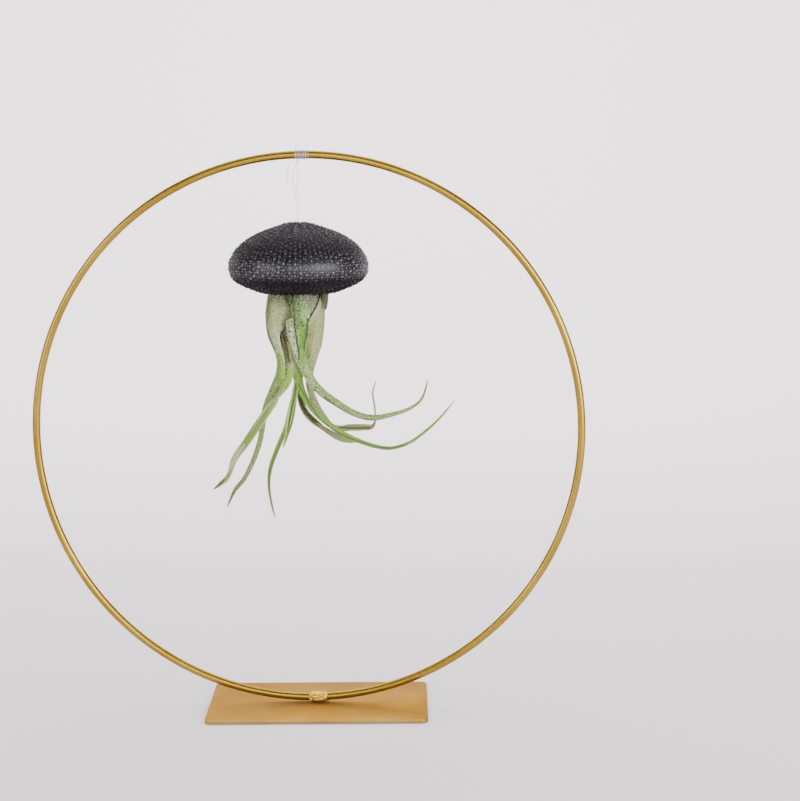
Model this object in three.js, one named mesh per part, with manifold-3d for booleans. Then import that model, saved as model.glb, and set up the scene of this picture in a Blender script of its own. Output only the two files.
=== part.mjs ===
// A jellyfish air plant display: a medusa head air plant hangs head down from a black sea
// urchin shell, on a clear thread tied to the top of a gold wire hoop on a flat base plate.
// Millimetres, +Z up, front towards -Y. The origin is under the middle of the base plate.

import * as THREE from 'three';
import { mergeVertices } from 'three/addons/utils/BufferGeometryUtils.js';
import Module from 'manifold-3d';

const wasm = await Module();
wasm.setup();

// ---------- driving dimensions ----------

const FIT_GAP = 0.3; // clearance between two solids that touch on the real thing

const PLATE = { length: 119, depth: 80, thickness: 2, corner: 3.8, edge: 0.25 };

const HOOP = { outerDiameter: 300, wire: 4.2, offsetX: -4.5, turnDegrees: -2.85 };

const WELD = { length: 10.5, depth: 7.6, height: 6.6 };

const THREAD = { diameter: 0.4, sides: 8 };
const WINDING = { centreX: -5.7, width: 7.4, turns: 5.5, tailDown: 12, tailBack: 2.4, tailUp: 5 };
const KNOT_RADIUS = 0.8;
const HANG_X = -8.2; // where the thread leaves the hoop, and the shell's own axis

const SHELL = {
  apexZ: 264.2,
  wall: 1.2,
  apexHole: 1.3,
  tubercleHeight: 0.55,
  columns: 80,
  rows: 24,
  rowsPerInnerRow: 4,
};

// The shell's outer half section from the apex to the mouth, as radius and drop below the apex.
const SHELL_SECTION = [
  [1.3, 0.5], [5, 0.6], [9.4, 1.6], [14.5, 3.4], [20.4, 5.6], [25, 7.8], [29, 10.4],
  [32.7, 13.9], [35.2, 17.5], [36.7, 21], [37, 24.2], [36.2, 27.6], [34.1, 30.4], [30.7, 32.6],
  [26.2, 34.6], [22, 36.2], [18.2, 37.4],
];

// Profiles as radius and height: the stem inside the bulb, and the glue between it and the shell.
const STEM_SECTION = [
  [0, 203], [1.2, 204], [2, 212], [2.6, 224], [3.6, 234], [4.8, 238], [6.2, 242], [7.4, 245.5],
  [7.4, 248], [4.5, 250.5], [0, 251],
];

const GLUE_SECTION = [
  [0, 251.3], [5, 250.8], [7.8, 248.4], [9.2, 249.2], [10.8, 252.5], [12.2, 256.6],
  [11.6, 258.9], [7, 260.7], [2.6, 261.6], [2.6, 259.5], [0, 259.5],
];

// The bulb that the leaf sheaths form: its axis leans a little to the left lower down.
const BULB = {
  axisTop: { x: -8.4, z: 232 },
  axisBottom: { x: -10, z: 216 },
  outerProfile: [[246, 12], [240, 14], [233, 15.2], [226, 15.8], [219, 16.3], [212, 16.4]],
  sheathThickness: 0.9,
  layerStep: 1.35,
  firstBaseZ: 246,
  baseStep: 4,
  flare: 14,
  stationDrops: [0, 3, 7.5, 14, 22],
};

// A leaf's wall, its corners across each face, and the radius at which its rings start to turn
// level, as they are where it wraps the bulb.
const BLADE = {
  thickest: 1.1,
  thinnest: 0.62,
  sheathFrom: 8,
  points: 6,
  stepsPerStation: 1.3,
  levelFrom: 4,
  levelOver: 5,
};

// Each leaf: the layer of the bulb that its sheath lies in (1 is outermost), the compass
// direction of the sheath's middle and how far round it wraps, at its base and, where that
// differs, at its end, the height of that end, and then the blade's stations as x, y, z, span
// across, fold of its margins, and the way its back faces (azimuth, elevation, in degrees).
// Listed from the leaf that lies over its neighbours to the one under; the first is the small
// dry scale outside the bulb, which has no sheath.
const LEAVES = [
  {
    name: 'bract',
    color: 0x6b5a2e,
    sheath: null,
    blade: [
      [3.6, -5.2, 241, 8, 40, 337, 0],
      [6, -5.8, 236, 10, 42, 338, 0],
      [7, -6, 231.5, 10.4, 42, 338, 0],
      [7.2, -6.2, 226.5, 8.6, 36, 338, 0],
      [7.1, -6.4, 221.5, 5.2, 26, 338, 0],
      [6.8, -6.6, 217.5, 1.6, 18, 338, 0],
    ],
  },
  {
    name: 'leaf_left_long',
    color: 0x97a684,
    sheath: { layer: 1, azimuth: 189, wrap: 78, endAzimuth: 208, endWrap: 124, endZ: 213 },
    blade: [
      [-25.2, -5.2, 207.5, 24, 104, 201, 0],
      [-23.8, -6.8, 202.5, 13.5, 120, 203, 0],
      [-21.2, -8.2, 197, 7, 160, 209, 0],
      [-19.3, -8.8, 191, 5.6, 180, 214, 0],
      [-20.1, -7.8, 182.5, 6, 180, 214, -10],
      [-23.8, -5.4, 174, 5.6, 170, 212, -20],
      [-28, -2.8, 164, 4.4, 170, 210, -20],
      [-29.5, -1, 153, 3.8, 170, 205, -10],
      [-31, 0, 145.5, 3.7, 160, 200, -15],
      [-34, 1, 136, 3.4, 160, 200, -25],
      [-39.2, 2, 125.3, 2.9, 150, 200, -30],
      [-45.3, 3, 118, 2.3, 140, 200, -35],
      [-49.3, 3, 109, 1.2, 120, 200, -20],
    ],
  },
  {
    name: 'leaf_right_upper',
    color: 0x9bb07f,
    sheath: { layer: 2, azimuth: 287, wrap: 30, endAzimuth: 277, endWrap: 50, endZ: 215 },
    blade: [
      [-8.7, -14, 206, 11.4, 80, 270, 0],
      [-9, -13.2, 199, 8.4, 120, 268, 0],
      [-7.4, -12.4, 192.6, 7, 150, 266, 0],
      [-4.4, -12.2, 185.6, 5.9, 160, 266, 5],
      [-0.6, -12.6, 179.2, 5.4, 160, 266, 10],
      [4.7, -13.2, 173.6, 5.1, 160, 266, 10],
      [11.6, -14.4, 168.9, 4.5, 160, 264, 10],
      [18.4, -16, 164.7, 4.1, 160, 262, 10],
      [25.2, -17.5, 161.8, 3.8, 160, 260, 0],
      [32, -19, 160.8, 3.6, 160, 260, -10],
      [40.5, -20.5, 162.5, 3, 150, 262, -15],
      [50.1, -22, 165.8, 2.2, 140, 264, -15],
      [57.2, -22.8, 171.5, 1.6, 120, 266, -10],
      [60.8, -23, 182.5, 1.2, 100, 268, 0],
    ],
  },
  {
    name: 'leaf_right_back',
    color: 0x8b9a6c,
    sheath: { layer: 1, azimuth: 14, wrap: 56, endAzimuth: -8, endWrap: 100, endZ: 213 },
    blade: [
      [5, -2.6, 206, 19, 105, 350, 0],
      [3.6, -2.6, 198, 14.5, 110, 346, 0],
      [0.9, -2.2, 190, 9.5, 130, 340, 0],
      [-1.2, -1, 182, 6, 160, 335, 0],
      [-1.4, 0.6, 174.5, 5.4, 160, 330, 0],
      [1, 2, 166.6, 5, 160, 320, 0],
      [3.6, 3.4, 160.6, 4.4, 150, 300, 10],
      [7.2, 4.8, 156, 3.8, 150, 250, 50],
      [12.5, 5.4, 153.4, 3.5, 170, 120, 40],
      [18, 5.4, 152.7, 3.4, 180, 95, 0],
      [25, 4.6, 152.6, 3.3, 180, 92, -10],
      [30.6, 3.8, 153, 2.8, 160, 60, -20],
      [32.6, 3.2, 157, 1.7, 120, 40, 0],
      [32.1, 2, 165, 1.4, 110, 60, 0],
      [31.2, 1, 172, 1.3, 110, 60, 0],
      [33.2, 0, 179.4, 1.1, 100, 60, 0],
    ],
  },
  {
    name: 'leaf_left_front',
    color: 0xa0ab82,
    sheath: { layer: 4, azimuth: 225, wrap: 70, endZ: 213 },
    blade: [
      [-15, -8.2, 203, 9.4, 90, 238, 0],
      [-13.8, -7.8, 195, 8.6, 110, 244, 0],
      [-14, -7.6, 188, 8, 125, 246, 0],
      [-16.2, -8.4, 181, 7.4, 140, 236, 0],
      [-19.8, -9.8, 174.4, 6, 150, 200, -20],
      [-25, -11.2, 166.4, 5, 170, 150, -30],
      [-30.4, -12, 157.8, 4.5, 180, 135, -30],
      [-37.4, -12.8, 147.4, 4.1, 180, 130, -30],
      [-43.6, -13, 138.4, 3.6, 170, 130, -30],
      [-46.6, -13, 132.4, 3.1, 150, 130, -20],
      [-50.4, -12.8, 127, 2.3, 130, 140, -30],
      [-54.9, -12, 122, 1.5, 110, 150, -30],
    ],
  },
  {
    name: 'leaf_right_lower',
    color: 0x9cb56c,
    sheath: { layer: 3, azimuth: 246, wrap: 70, endZ: 213 },
    blade: [
      [-13, -10.4, 205, 8.6, 90, 252, 0],
      [-10.6, -8.6, 196.5, 6.6, 110, 262, 0],
      [-9, -7.4, 189, 5.6, 130, 276, 0],
      [-8.2, -6.8, 181.5, 5.2, 150, 290, 0],
      [-5.8, -6.6, 173.5, 4.7, 160, 296, 15],
      [-2, -6.6, 167, 4.3, 170, 296, 30],
      [2.2, -6.6, 162, 4.1, 170, 294, 40],
      [8.4, -6.4, 156.7, 4, 170, 290, 50],
      [16, -6, 151.5, 3.8, 170, 286, 55],
      [27.9, -4, 145.9, 3.4, 170, 280, 60],
      [39.6, -1, 142.8, 3, 160, 275, 60],
      [50, 2, 145, 2.6, 150, 270, 60],
      [57, 4, 149.1, 2.2, 140, 270, 50],
      [66, 6.2, 156.4, 1.6, 120, 268, 40],
      [75.6, 8, 167, 1.2, 100, 266, 30],
    ],
  },
  {
    name: 'leaf_centre_down',
    color: 0x93a466,
    sheath: { layer: 5, azimuth: 262, wrap: 60, endZ: 214 },
    blade: [
      [-10.6, -6.4, 205, 6, 80, 266, 0],
      [-10.8, -4.6, 195, 4.8, 110, 266, 0],
      [-11.2, -4.2, 185, 4, 150, 200, 0],
      [-11, -5.6, 174, 3.6, 180, 110, -10],
      [-12.7, -7, 165.9, 3.5, 190, 100, -15],
      [-15.5, -8, 154.9, 3.3, 190, 100, -15],
      [-20.4, -8.8, 143.4, 3, 180, 100, -20],
      [-24.1, -9, 133.5, 2.6, 170, 100, -10],
      [-25.2, -9, 125, 2.1, 150, 95, 0],
      [-24.2, -9, 115.5, 1.6, 120, 90, 0],
      [-21.9, -9, 105.4, 1.2, 100, 90, 0],
    ],
  },
  {
    name: 'leaf_right_channel',
    color: 0x857f4f,
    sheath: { layer: 3, azimuth: 314, wrap: 56, endZ: 214 },
    blade: [
      [-3.4, -9.4, 206, 8, 80, 306, 0],
      [-5.6, -5.4, 196.3, 6, 110, 290, 0],
      [-7, -3, 187, 4.6, 140, 230, 0],
      [-8.8, -2.4, 178, 4, 170, 150, -10],
      [-9, -2.2, 170.5, 3.8, 190, 135, -20],
      [-7, -2, 163, 4.2, 200, 135, -35],
      [-2.8, -1.4, 157.2, 4.3, 200, 140, -45],
      [2.4, -0.8, 153.1, 4.2, 190, 180, -60],
      [7.8, 0.2, 149.8, 3.8, 160, 240, -60],
      [13.6, 1.2, 148, 3.2, 140, 250, -60],
      [19.6, 2, 147, 2.2, 120, 260, -60],
      [24, 2.6, 145.6, 1.3, 100, 265, -60],
    ],
  },
  {
    name: 'leaf_centre_short',
    color: 0x9fb074,
    sheath: { layer: 5, azimuth: 300, wrap: 44, endZ: 216 },
    blade: [
      [-8.4, -3, 205, 4, 80, 290, 0],
      [-9.8, -0.6, 194, 3.4, 110, 200, 0],
      [-10.6, -1, 184, 3, 130, 120, 0],
      [-10.6, -2.6, 174, 2.6, 150, 100, 0],
      [-11.4, -4, 165.6, 2.4, 150, 100, 0],
      [-13, -5.4, 156.6, 2.1, 140, 100, 0],
      [-15.6, -6, 149, 1.7, 120, 100, 0],
      [-17.7, -6.4, 143.2, 1.2, 100, 100, 0],
    ],
  },
  {
    name: 'leaf_back_left',
    color: 0x94a37c,
    sheath: { layer: 2, azimuth: 128, wrap: 84, endZ: 213 },
    blade: [
      [-19, 12, 206, 10.5, 90, 125, 0],
      [-18, 13.4, 199, 7, 130, 118, -10],
      [-17.4, 18, 192.5, 5.4, 160, 105, -40],
      [-17.2, 26, 188.6, 4.9, 170, 98, -65],
      [-18.4, 35, 189.4, 4.4, 170, 95, -75],
      [-20.6, 44, 194, 4, 170, 98, -55],
      [-22.4, 51, 202, 3.6, 160, 105, -30],
      [-24, 55.4, 213, 3, 150, 110, -10],
      [-27.4, 56.4, 226, 2.5, 140, 112, 5],
      [-32.4, 54.6, 238, 1.9, 120, 115, 10],
      [-37.6, 50.6, 248, 1.2, 100, 118, 15],
    ],
  },
  {
    name: 'leaf_back_right',
    color: 0x8fa173,
    sheath: { layer: 1, azimuth: 68, wrap: 92, endZ: 212 },
    blade: [
      [-5.4, 13.6, 205, 10, 95, 76, 0],
      [-6.2, 13.8, 198, 6.6, 130, 82, -10],
      [-5.4, 18, 191.5, 5.4, 160, 84, -40],
      [-3.6, 26, 187.6, 4.9, 170, 86, -65],
      [-1.6, 35, 188.4, 4.4, 170, 86, -75],
      [0, 44.4, 193.4, 4, 170, 86, -55],
      [0.4, 52, 202, 3.5, 160, 84, -30],
      [1.6, 57, 213.4, 3, 150, 80, -10],
      [5.4, 59, 226, 2.5, 140, 78, 5],
      [11, 57.4, 238, 1.9, 120, 74, 10],
      [17, 53, 248.6, 1.2, 100, 70, 15],
    ],
  },
  {
    name: 'leaf_back_centre',
    color: 0xa1ad7a,
    sheath: { layer: 3, azimuth: 98, wrap: 70, endZ: 214 },
    blade: [
      [-10.8, 10.4, 205, 7.6, 90, 96, 0],
      [-10.8, 8.6, 196, 5.6, 130, 94, 0],
      [-10.8, 9.6, 188.6, 4.8, 150, 90, -20],
      [-10.8, 14.4, 181.8, 4.4, 160, 90, -45],
      [-10.6, 22, 177.4, 4, 160, 90, -65],
      [-10.4, 30.4, 177.6, 3.6, 160, 90, -85],
      [-10.6, 37.6, 182, 3.2, 160, 90, -50],
      [-11.4, 42, 189.6, 2.7, 150, 90, -25],
      [-13.6, 43.6, 199, 2, 130, 95, 0],
      [-17, 42, 208, 1.2, 100, 100, 20],
    ],
  },
];

// ---------- materials ----------

const material = (color, roughness, metalness = 0, extra = {}) =>
  new THREE.MeshStandardMaterial({ color, roughness, metalness, ...extra });

const goldPaint = material(0xb58a45, 0.38, 0.75);
const goldWeld = material(0xd0a858, 0.3, 0.8);
const clearThread = material(0xe6e9ea, 0.15, 0, { transparent: true, opacity: 0.6 });
const blackShell = material(0x2e2d31, 0.5);
const glueMaterial = material(0xd8d2bf, 0.45);
const stemMaterial = material(0x7a6243, 0.85);
const leafMaterial = (color) => material(color, 0.7);

// ---------- helpers ----------

const display = new THREE.Group();

const addMesh = (name, geometry, itsMaterial) => {
  geometry.computeVertexNormals();
  const mesh = new THREE.Mesh(geometry, itsMaterial);
  mesh.name = name;
  display.add(mesh);
};

// A closed geometry with its shared corners merged, as a solid for cutting and joining.
function solidFrom(geometry) {
  const bare = geometry.index ? geometry.toNonIndexed() : geometry.clone();
  for (const attribute of Object.keys(bare.attributes)) {
    if (attribute !== 'position') bare.deleteAttribute(attribute);
  }
  const merged = mergeVertices(bare, 1e-4);
  return new wasm.Manifold(new wasm.Mesh({
    numProp: 3,
    vertProperties: merged.attributes.position.array,
    triVerts: new Uint32Array(merged.index.array),
  }));
}

// The largest body of a solid: what a cut leaves loose is dropped.
function largestBody(solid) {
  return solid.decompose().reduce((best, body) => (body.volume() > best.volume() ? body : best));
}

function geometryFrom(solid) {
  const mesh = solid.getMesh();
  const geometry = new THREE.BufferGeometry();
  geometry.setAttribute('position', new THREE.BufferAttribute(mesh.vertProperties, 3));
  geometry.setIndex(new THREE.BufferAttribute(mesh.triVerts, 1));
  return geometry;
}

const degrees = THREE.MathUtils.degToRad;

// A smooth value through the knots of a list, by the same parameter as the leaf's route.
function smoothValue(values, t) {
  const at = t * (values.length - 1);
  const i = Math.min(Math.floor(at), values.length - 2);
  const [a, b, c, d] = [i - 1, i, i + 1, i + 2].map(
    (k) => values[Math.min(Math.max(k, 0), values.length - 1)],
  );
  const s = at - i;
  const slopeIn = (c - a) / 2;
  const slopeOut = (d - b) / 2;
  const cubic = 2 * b - 2 * c + slopeIn + slopeOut;
  const square = -3 * b + 3 * c - 2 * slopeIn - slopeOut;
  return ((cubic * s + square) * s + slopeIn) * s + b;
}

// A round cord along a list of points.
function cordGeometry(points, diameter, steps, sides = THREAD.sides) {
  const circle = new THREE.Shape();
  for (let k = 0; k < sides; k += 1) {
    const turn = (2 * Math.PI * k) / sides;
    const [x, y] = [Math.cos(turn), Math.sin(turn)].map((v) => (v * diameter) / 2);
    if (k === 0) circle.moveTo(x, y);
    else circle.lineTo(x, y);
  }
  circle.closePath();
  const extrudePath = new THREE.CatmullRomCurve3(points, false, 'centripetal');
  return new THREE.ExtrudeGeometry(circle, { extrudePath, steps, curveSegments: 1 });
}

// ---------- stand ----------

const wireRadius = HOOP.wire / 2;
const hoopRadius = HOOP.outerDiameter / 2 - wireRadius;
const hoopCentreZ = PLATE.thickness + FIT_GAP + HOOP.outerDiameter / 2;

const hoopCentre = new THREE.Vector3(HOOP.offsetX, 0, hoopCentreZ);
const hoopTurn = new THREE.Matrix4().makeRotationZ(degrees(HOOP.turnDegrees));

// A point near the hoop's wire: angle round the hoop from its top, then round the wire.
function onWire(hoopAngle, wireAngle, awayFromWire) {
  const radial = hoopRadius + awayFromWire * Math.cos(wireAngle);
  const point = new THREE.Vector3(
    radial * Math.sin(hoopAngle),
    awayFromWire * Math.sin(wireAngle),
    radial * Math.cos(hoopAngle),
  );
  return point.applyMatrix4(hoopTurn).add(hoopCentre);
}

function basePlate() {
  const { length, depth, thickness, corner, edge } = PLATE;
  const [x, y, r] = [length / 2 - edge, depth / 2 - edge, corner - edge];
  const outline = new THREE.Shape();
  outline.absarc(x - r, y - r, r, 0, Math.PI / 2);
  outline.absarc(-x + r, y - r, r, Math.PI / 2, Math.PI);
  outline.absarc(-x + r, -y + r, r, Math.PI, 1.5 * Math.PI);
  outline.absarc(x - r, -y + r, r, 1.5 * Math.PI, 2 * Math.PI);
  const plate = new THREE.ExtrudeGeometry(outline, {
    depth: thickness - 2 * edge,
    bevelEnabled: true,
    bevelThickness: edge,
    bevelSize: edge,
    bevelSegments: 1,
    curveSegments: 5,
  });
  plate.translate(0, 0, edge);
  addMesh('base_plate', plate, goldPaint);
}

function torusAlongHoop(tubeRadius, aroundWire, aroundHoop) {
  const torus = new THREE.TorusGeometry(hoopRadius, tubeRadius, aroundWire, aroundHoop);
  torus.rotateX(Math.PI / 2);
  torus.applyMatrix4(hoopTurn);
  return torus.translate(hoopCentre.x, hoopCentre.y, hoopCentre.z);
}

// A lumpy bead that wraps the wire where it meets the plate.
function weldBead() {
  const blob = new THREE.SphereGeometry(1, 16, 12);
  const corners = blob.attributes.position;
  for (let i = 0; i < corners.count; i += 1) {
    const [x, y, z] = [corners.getX(i), corners.getY(i), corners.getZ(i)];
    const lump = 1 + 0.06 * Math.sin(5 * x + 1) * Math.cos(4 * z + 2 * y) + 0.04 * Math.sin(9 * y);
    corners.setXYZ(i, (x * lump * WELD.length) / 2, (y * lump * WELD.depth) / 2,
      (z * lump * WELD.height) / 2);
  }
  blob.translate(0, 0, PLATE.thickness + FIT_GAP + wireRadius);
  const cutter = 40;
  const below = new THREE.BoxGeometry(cutter, cutter, cutter);
  below.translate(0, 0, PLATE.thickness - cutter / 2);
  const bead = solidFrom(blob)
    .subtract(solidFrom(below))
    .subtract(solidFrom(torusAlongHoop(wireRadius + FIT_GAP, 12, 180)));
  addMesh('weld_bead', geometryFrom(largestBody(bead)), goldWeld);
}

// ---------- thread ----------

const threadRadius = THREAD.diameter / 2;
const windingReach = wireRadius + FIT_GAP + threadRadius;
const angleAtX = (x) => Math.asin((x - HOOP.offsetX) / hoopRadius);
const hangTop = onWire(angleAtX(HANG_X), Math.PI, windingReach + threadRadius);
const knotCentre = hangTop.clone();
knotCentre.z -= FIT_GAP + KNOT_RADIUS;

function threadWinding() {
  const [from, to] = [-0.5, 0.5].map((side) => angleAtX(WINDING.centreX + side * WINDING.width));
  const stepsPerTurn = 12;
  const count = Math.round(WINDING.turns * stepsPerTurn);
  const points = [];
  for (let i = 0; i <= count; i += 1) {
    const t = i / count;
    const spread = t + 0.035 * Math.sin(7 * Math.PI * t);
    const around = 2 * Math.PI * WINDING.turns * t + Math.PI / 2;
    points.push(onWire(from + (to - from) * spread, around, windingReach));
  }
  const first = points[0];
  const last = points[points.length - 1];
  const down = [1, 0.62, 0.25].map((part) =>
    new THREE.Vector3(first.x - 2.2 * part, first.y + 0.5 + WINDING.tailBack * part,
      first.z - WINDING.tailDown * part));
  const up = [0.45, 1].map((part) =>
    new THREE.Vector3(last.x + 1.2 * part, last.y - 0.3, last.z + WINDING.tailUp * part));
  const route = [...down, ...points, ...up];
  addMesh('thread_winding', cordGeometry(route, THREAD.diameter, 84, 5), clearThread);
}

function threadKnot() {
  const ball = new THREE.IcosahedronGeometry(KNOT_RADIUS, 1);
  ball.translate(knotCentre.x, knotCentre.y, knotCentre.z);
  addMesh('thread_knot', ball, clearThread);
}

const anchorTopZ = SHELL.apexZ - SHELL.wall - 0.4 - FIT_GAP;
const ANCHOR = { radius: 2, height: 2.4 };

function threadLine() {
  const top = knotCentre.z - KNOT_RADIUS - FIT_GAP;
  const { x, y } = knotCentre;
  const line = cordGeometry(
    [new THREE.Vector3(x, y, top), new THREE.Vector3(x, y, anchorTopZ + FIT_GAP)],
    THREAD.diameter, 8);
  const tail = cordGeometry([
    new THREE.Vector3(x, y, top - 0.6),
    new THREE.Vector3(x - 1.6, y - 0.5, top - 2.2),
    new THREE.Vector3(x - 3, y - 0.8, top - 5.5),
    new THREE.Vector3(x - 2, y - 1, top - 10.5),
    new THREE.Vector3(x - 0.9, y - 1.2, top - 17),
  ], THREAD.diameter, 14);
  addMesh('thread_line', geometryFrom(solidFrom(line).add(solidFrom(tail))), clearThread);
}

function anchorKnot() {
  const knot = new THREE.CylinderGeometry(ANCHOR.radius, ANCHOR.radius * 0.7, ANCHOR.height, 12);
  knot.rotateX(Math.PI / 2);
  knot.translate(knotCentre.x, knotCentre.y, anchorTopZ - ANCHOR.height / 2);
  addMesh('anchor_knot', knot, clearThread);
}

// ---------- shell ----------

// Moves a lathe's axis from Y to Z and sets it down on the shell's own axis.
function standOnShellAxis(lathe) {
  lathe.rotateX(Math.PI / 2);
  return lathe.translate(knotCentre.x, knotCentre.y, 0);
}

// A solid turned from pairs of radius and height about the shell's axis.
function turnedSolid(section, segments) {
  const profile = section.map(([r, z]) => new THREE.Vector2(r, z));
  return standOnShellAxis(new THREE.LatheGeometry(profile, segments));
}

// The smooth outer section from the mouth up to the apex, resampled evenly along its length.
function outerSection() {
  const knots = SHELL_SECTION.map(([r, drop]) => new THREE.Vector2(r, SHELL.apexZ - drop));
  return new THREE.SplineCurve(knots.reverse()).getSpacedPoints(SHELL.rows);
}

// The inner face, one wall thickness inside the outer one, from the apex down to the mouth.
function innerSection(outer) {
  const inner = [];
  for (let i = outer.length - 1; i >= 0; i -= SHELL.rowsPerInnerRow) {
    const [before, after] = [outer[Math.max(i - 1, 0)], outer[Math.min(i + 1, outer.length - 1)]];
    const along = after.clone().sub(before).normalize();
    const inward = new THREE.Vector2(-along.y, along.x).multiplyScalar(SHELL.wall);
    const point = outer[i].clone().add(inward);
    inner.push(point.setX(Math.max(point.x, SHELL.apexHole)));
  }
  return inner;
}

// A thin hollow test. Tubercles stand in staggered rings on its rows and columns.
function urchinShell() {
  const outer = outerSection();
  const profile = [...outer, ...innerSection(outer)];
  profile.push(profile[0].clone());
  const lathe = new THREE.LatheGeometry(profile, SHELL.columns);
  const corners = lathe.attributes.position;
  const normals = lathe.attributes.normal;
  for (let i = 0; i < corners.count; i += 1) {
    const row = i % profile.length;
    const column = Math.floor(i / profile.length) % SHELL.columns;
    const raised = row < SHELL.rows && row % 2 === 1 && (column + (row - 1) / 2) % 2 === 0;
    if (!raised) continue;
    const point = new THREE.Vector3().fromBufferAttribute(corners, i);
    const outward = new THREE.Vector3().fromBufferAttribute(normals, i);
    point.addScaledVector(outward, SHELL.tubercleHeight);
    corners.setXYZ(i, point.x, point.y, point.z);
  }
  addMesh('urchin_shell', standOnShellAxis(lathe), blackShell);
}

// ---------- plant ----------

const DOWN = new THREE.Vector3(0, 0, -1);
const lerp = THREE.MathUtils.lerp;
const clamp01 = (value) => THREE.MathUtils.clamp(value, 0, 1);

// The unit vector of an azimuth and an elevation in degrees.
function direction(azimuth, elevation = 0) {
  const [turn, rise] = [degrees(azimuth), degrees(elevation)];
  return new THREE.Vector3(
    Math.cos(rise) * Math.cos(turn), Math.cos(rise) * Math.sin(turn), Math.sin(rise));
}

// A value read off a list of [z, value] pairs that run downwards.
function readProfile(pairs, z) {
  const next = pairs.findIndex(([height]) => height <= z);
  if (next === 0) return pairs[0][1];
  if (next < 0) return pairs[pairs.length - 1][1];
  const [[z0, v0], [z1, v1]] = [pairs[next - 1], pairs[next]];
  return lerp(v0, v1, (z0 - z) / (z0 - z1));
}

const stemPairs = STEM_SECTION.map(([r, z]) => [z, r]).reverse();

function bulbAxisX(z) {
  const { axisTop, axisBottom } = BULB;
  const part = clamp01((axisTop.z - z) / (axisTop.z - axisBottom.z));
  return lerp(axisTop.x, axisBottom.x, part);
}

// The outer radius of one layer of sheaths: it leaves the stem at its base and flares out.
function layerRadius(layer, baseZ, z) {
  const full = readProfile(BULB.outerProfile, z) - (layer - 1) * BULB.layerStep;
  const atStem = readProfile(stemPairs, baseZ) + FIT_GAP + BULB.sheathThickness;
  const left = 1 - clamp01((baseZ - z) / BULB.flare);
  return lerp(full, Math.min(atStem, full), left * left);
}

// The stations of a sheath, from its base on the stem to where its blade begins.
function sheathStations(sheath) {
  const { layer, azimuth, wrap, endAzimuth = azimuth, endWrap = wrap, endZ } = sheath;
  const baseZ = BULB.firstBaseZ - (layer - 1) * BULB.baseStep;
  const heights = BULB.stationDrops.map((drop) => baseZ - drop).filter((z) => z > endZ + 2);
  return [...heights, endZ].map((z) => {
    const turned = ((baseZ - z) / (baseZ - endZ)) ** 2;
    const facing = lerp(azimuth, endAzimuth, turned);
    const around = lerp(wrap, endWrap, turned);
    const radius = layerRadius(layer, baseZ, z);
    const middle = direction(facing).multiplyScalar(radius);
    const span = 2 * radius * Math.sin(degrees(around / 2));
    return [bulbAxisX(z) + middle.x, middle.y, z, span, around, facing, 0];
  });
}

// A closed channelled leaf: a capped grid whose rings are bent to the sections of its stations.
// grow makes it fatter all round, to cut room for it in its neighbours.
function leafSolid(leaf, grow = 0) {
  const stations = [...(leaf.sheath ? sheathStations(leaf.sheath) : []), ...leaf.blade];
  const curve = new THREE.CatmullRomCurve3(
    stations.map(([x, y, z]) => new THREE.Vector3(x, y, z)), false, 'centripetal');
  const backs = stations.map((station) => direction(station[5], station[6]));
  const column = (list, t, pick) => smoothValue(list.map(pick), t);
  const sectionAt = (t) => {
    const span = column(stations, t, (station) => station[3]);
    const fold = degrees(column(stations, t, (station) => station[4]));
    const radius = span / 2 / Math.sin(Math.min(fold, Math.PI) / 2);
    const level = clamp01((radius - BLADE.levelFrom) / BLADE.levelOver);
    const along = curve.getTangent(t).lerp(DOWN, level).normalize();
    const back = new THREE.Vector3(
      column(backs, t, (v) => v.x), column(backs, t, (v) => v.y), column(backs, t, (v) => v.z));
    back.addScaledVector(along, -back.dot(along)).normalize();
    const across = new THREE.Vector3().crossVectors(back, along);
    const wall = THREE.MathUtils.clamp(0.42 * radius, BLADE.thinnest, BLADE.thickest);
    const centre = curve.getPoint(t).addScaledVector(back, -radius);
    const thickness = radius > BLADE.sheathFrom ? BULB.sheathThickness : wall;
    return { back, across, radius, fold, centre, wall: thickness };
  };
  const sides = 2 * BLADE.points;
  const steps = Math.round((stations.length - 1) * BLADE.stepsPerStation);
  const sections = Array.from({ length: steps + 1 }, (_, i) => sectionAt(i / steps));
  const grid = new THREE.CylinderGeometry(1, 1, 1, sides, steps);
  const corners = grid.attributes.position;
  for (let i = 0; i < corners.count; i += 1) {
    const { back, across, radius, fold, centre, wall } =
      sections[Math.round((0.5 - corners.getY(i)) * steps)];
    const atCapCentre = Math.hypot(corners.getX(i), corners.getZ(i)) < 0.5;
    const turn = Math.atan2(corners.getX(i), corners.getZ(i)) / (2 * Math.PI);
    const k = Math.round((turn + 1) * sides) % sides;
    const outside = k < BLADE.points;
    const step = outside ? k : sides - 1 - k;
    const reach = fold / 2 + (2 * grow) / (radius + 1);
    const angle = atCapCentre ? 0 : lerp(-reach, reach, step / (BLADE.points - 1));
    const outerRadius = radius + grow;
    const innerRadius = Math.max(radius - wall - grow, 0.12);
    const pick = outside ? outerRadius : innerRadius;
    const distance = atCapCentre ? (outerRadius + innerRadius) / 2 : pick;
    const point = centre.clone()
      .addScaledVector(back, distance * Math.cos(angle))
      .addScaledVector(across, distance * Math.sin(angle));
    corners.setXYZ(i, point.x, point.y, point.z);
  }
  return solidFrom(grid);
}

// Leaves in their order, each cut clear of the ones that lie over it, then the stem inside.
function plant() {
  let taken = null;
  for (const leaf of LEAVES) {
    const whole = leafSolid(leaf);
    const free = taken ? largestBody(whole.subtract(taken)) : whole;
    addMesh(leaf.name, geometryFrom(free), leafMaterial(leaf.color));
    const room = leafSolid(leaf, FIT_GAP);
    taken = taken ? taken.add(room) : room;
  }
  const stem = turnedSolid(STEM_SECTION, 16);
  addMesh('plant_stem', geometryFrom(largestBody(solidFrom(stem).subtract(taken))), stemMaterial);
}

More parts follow.
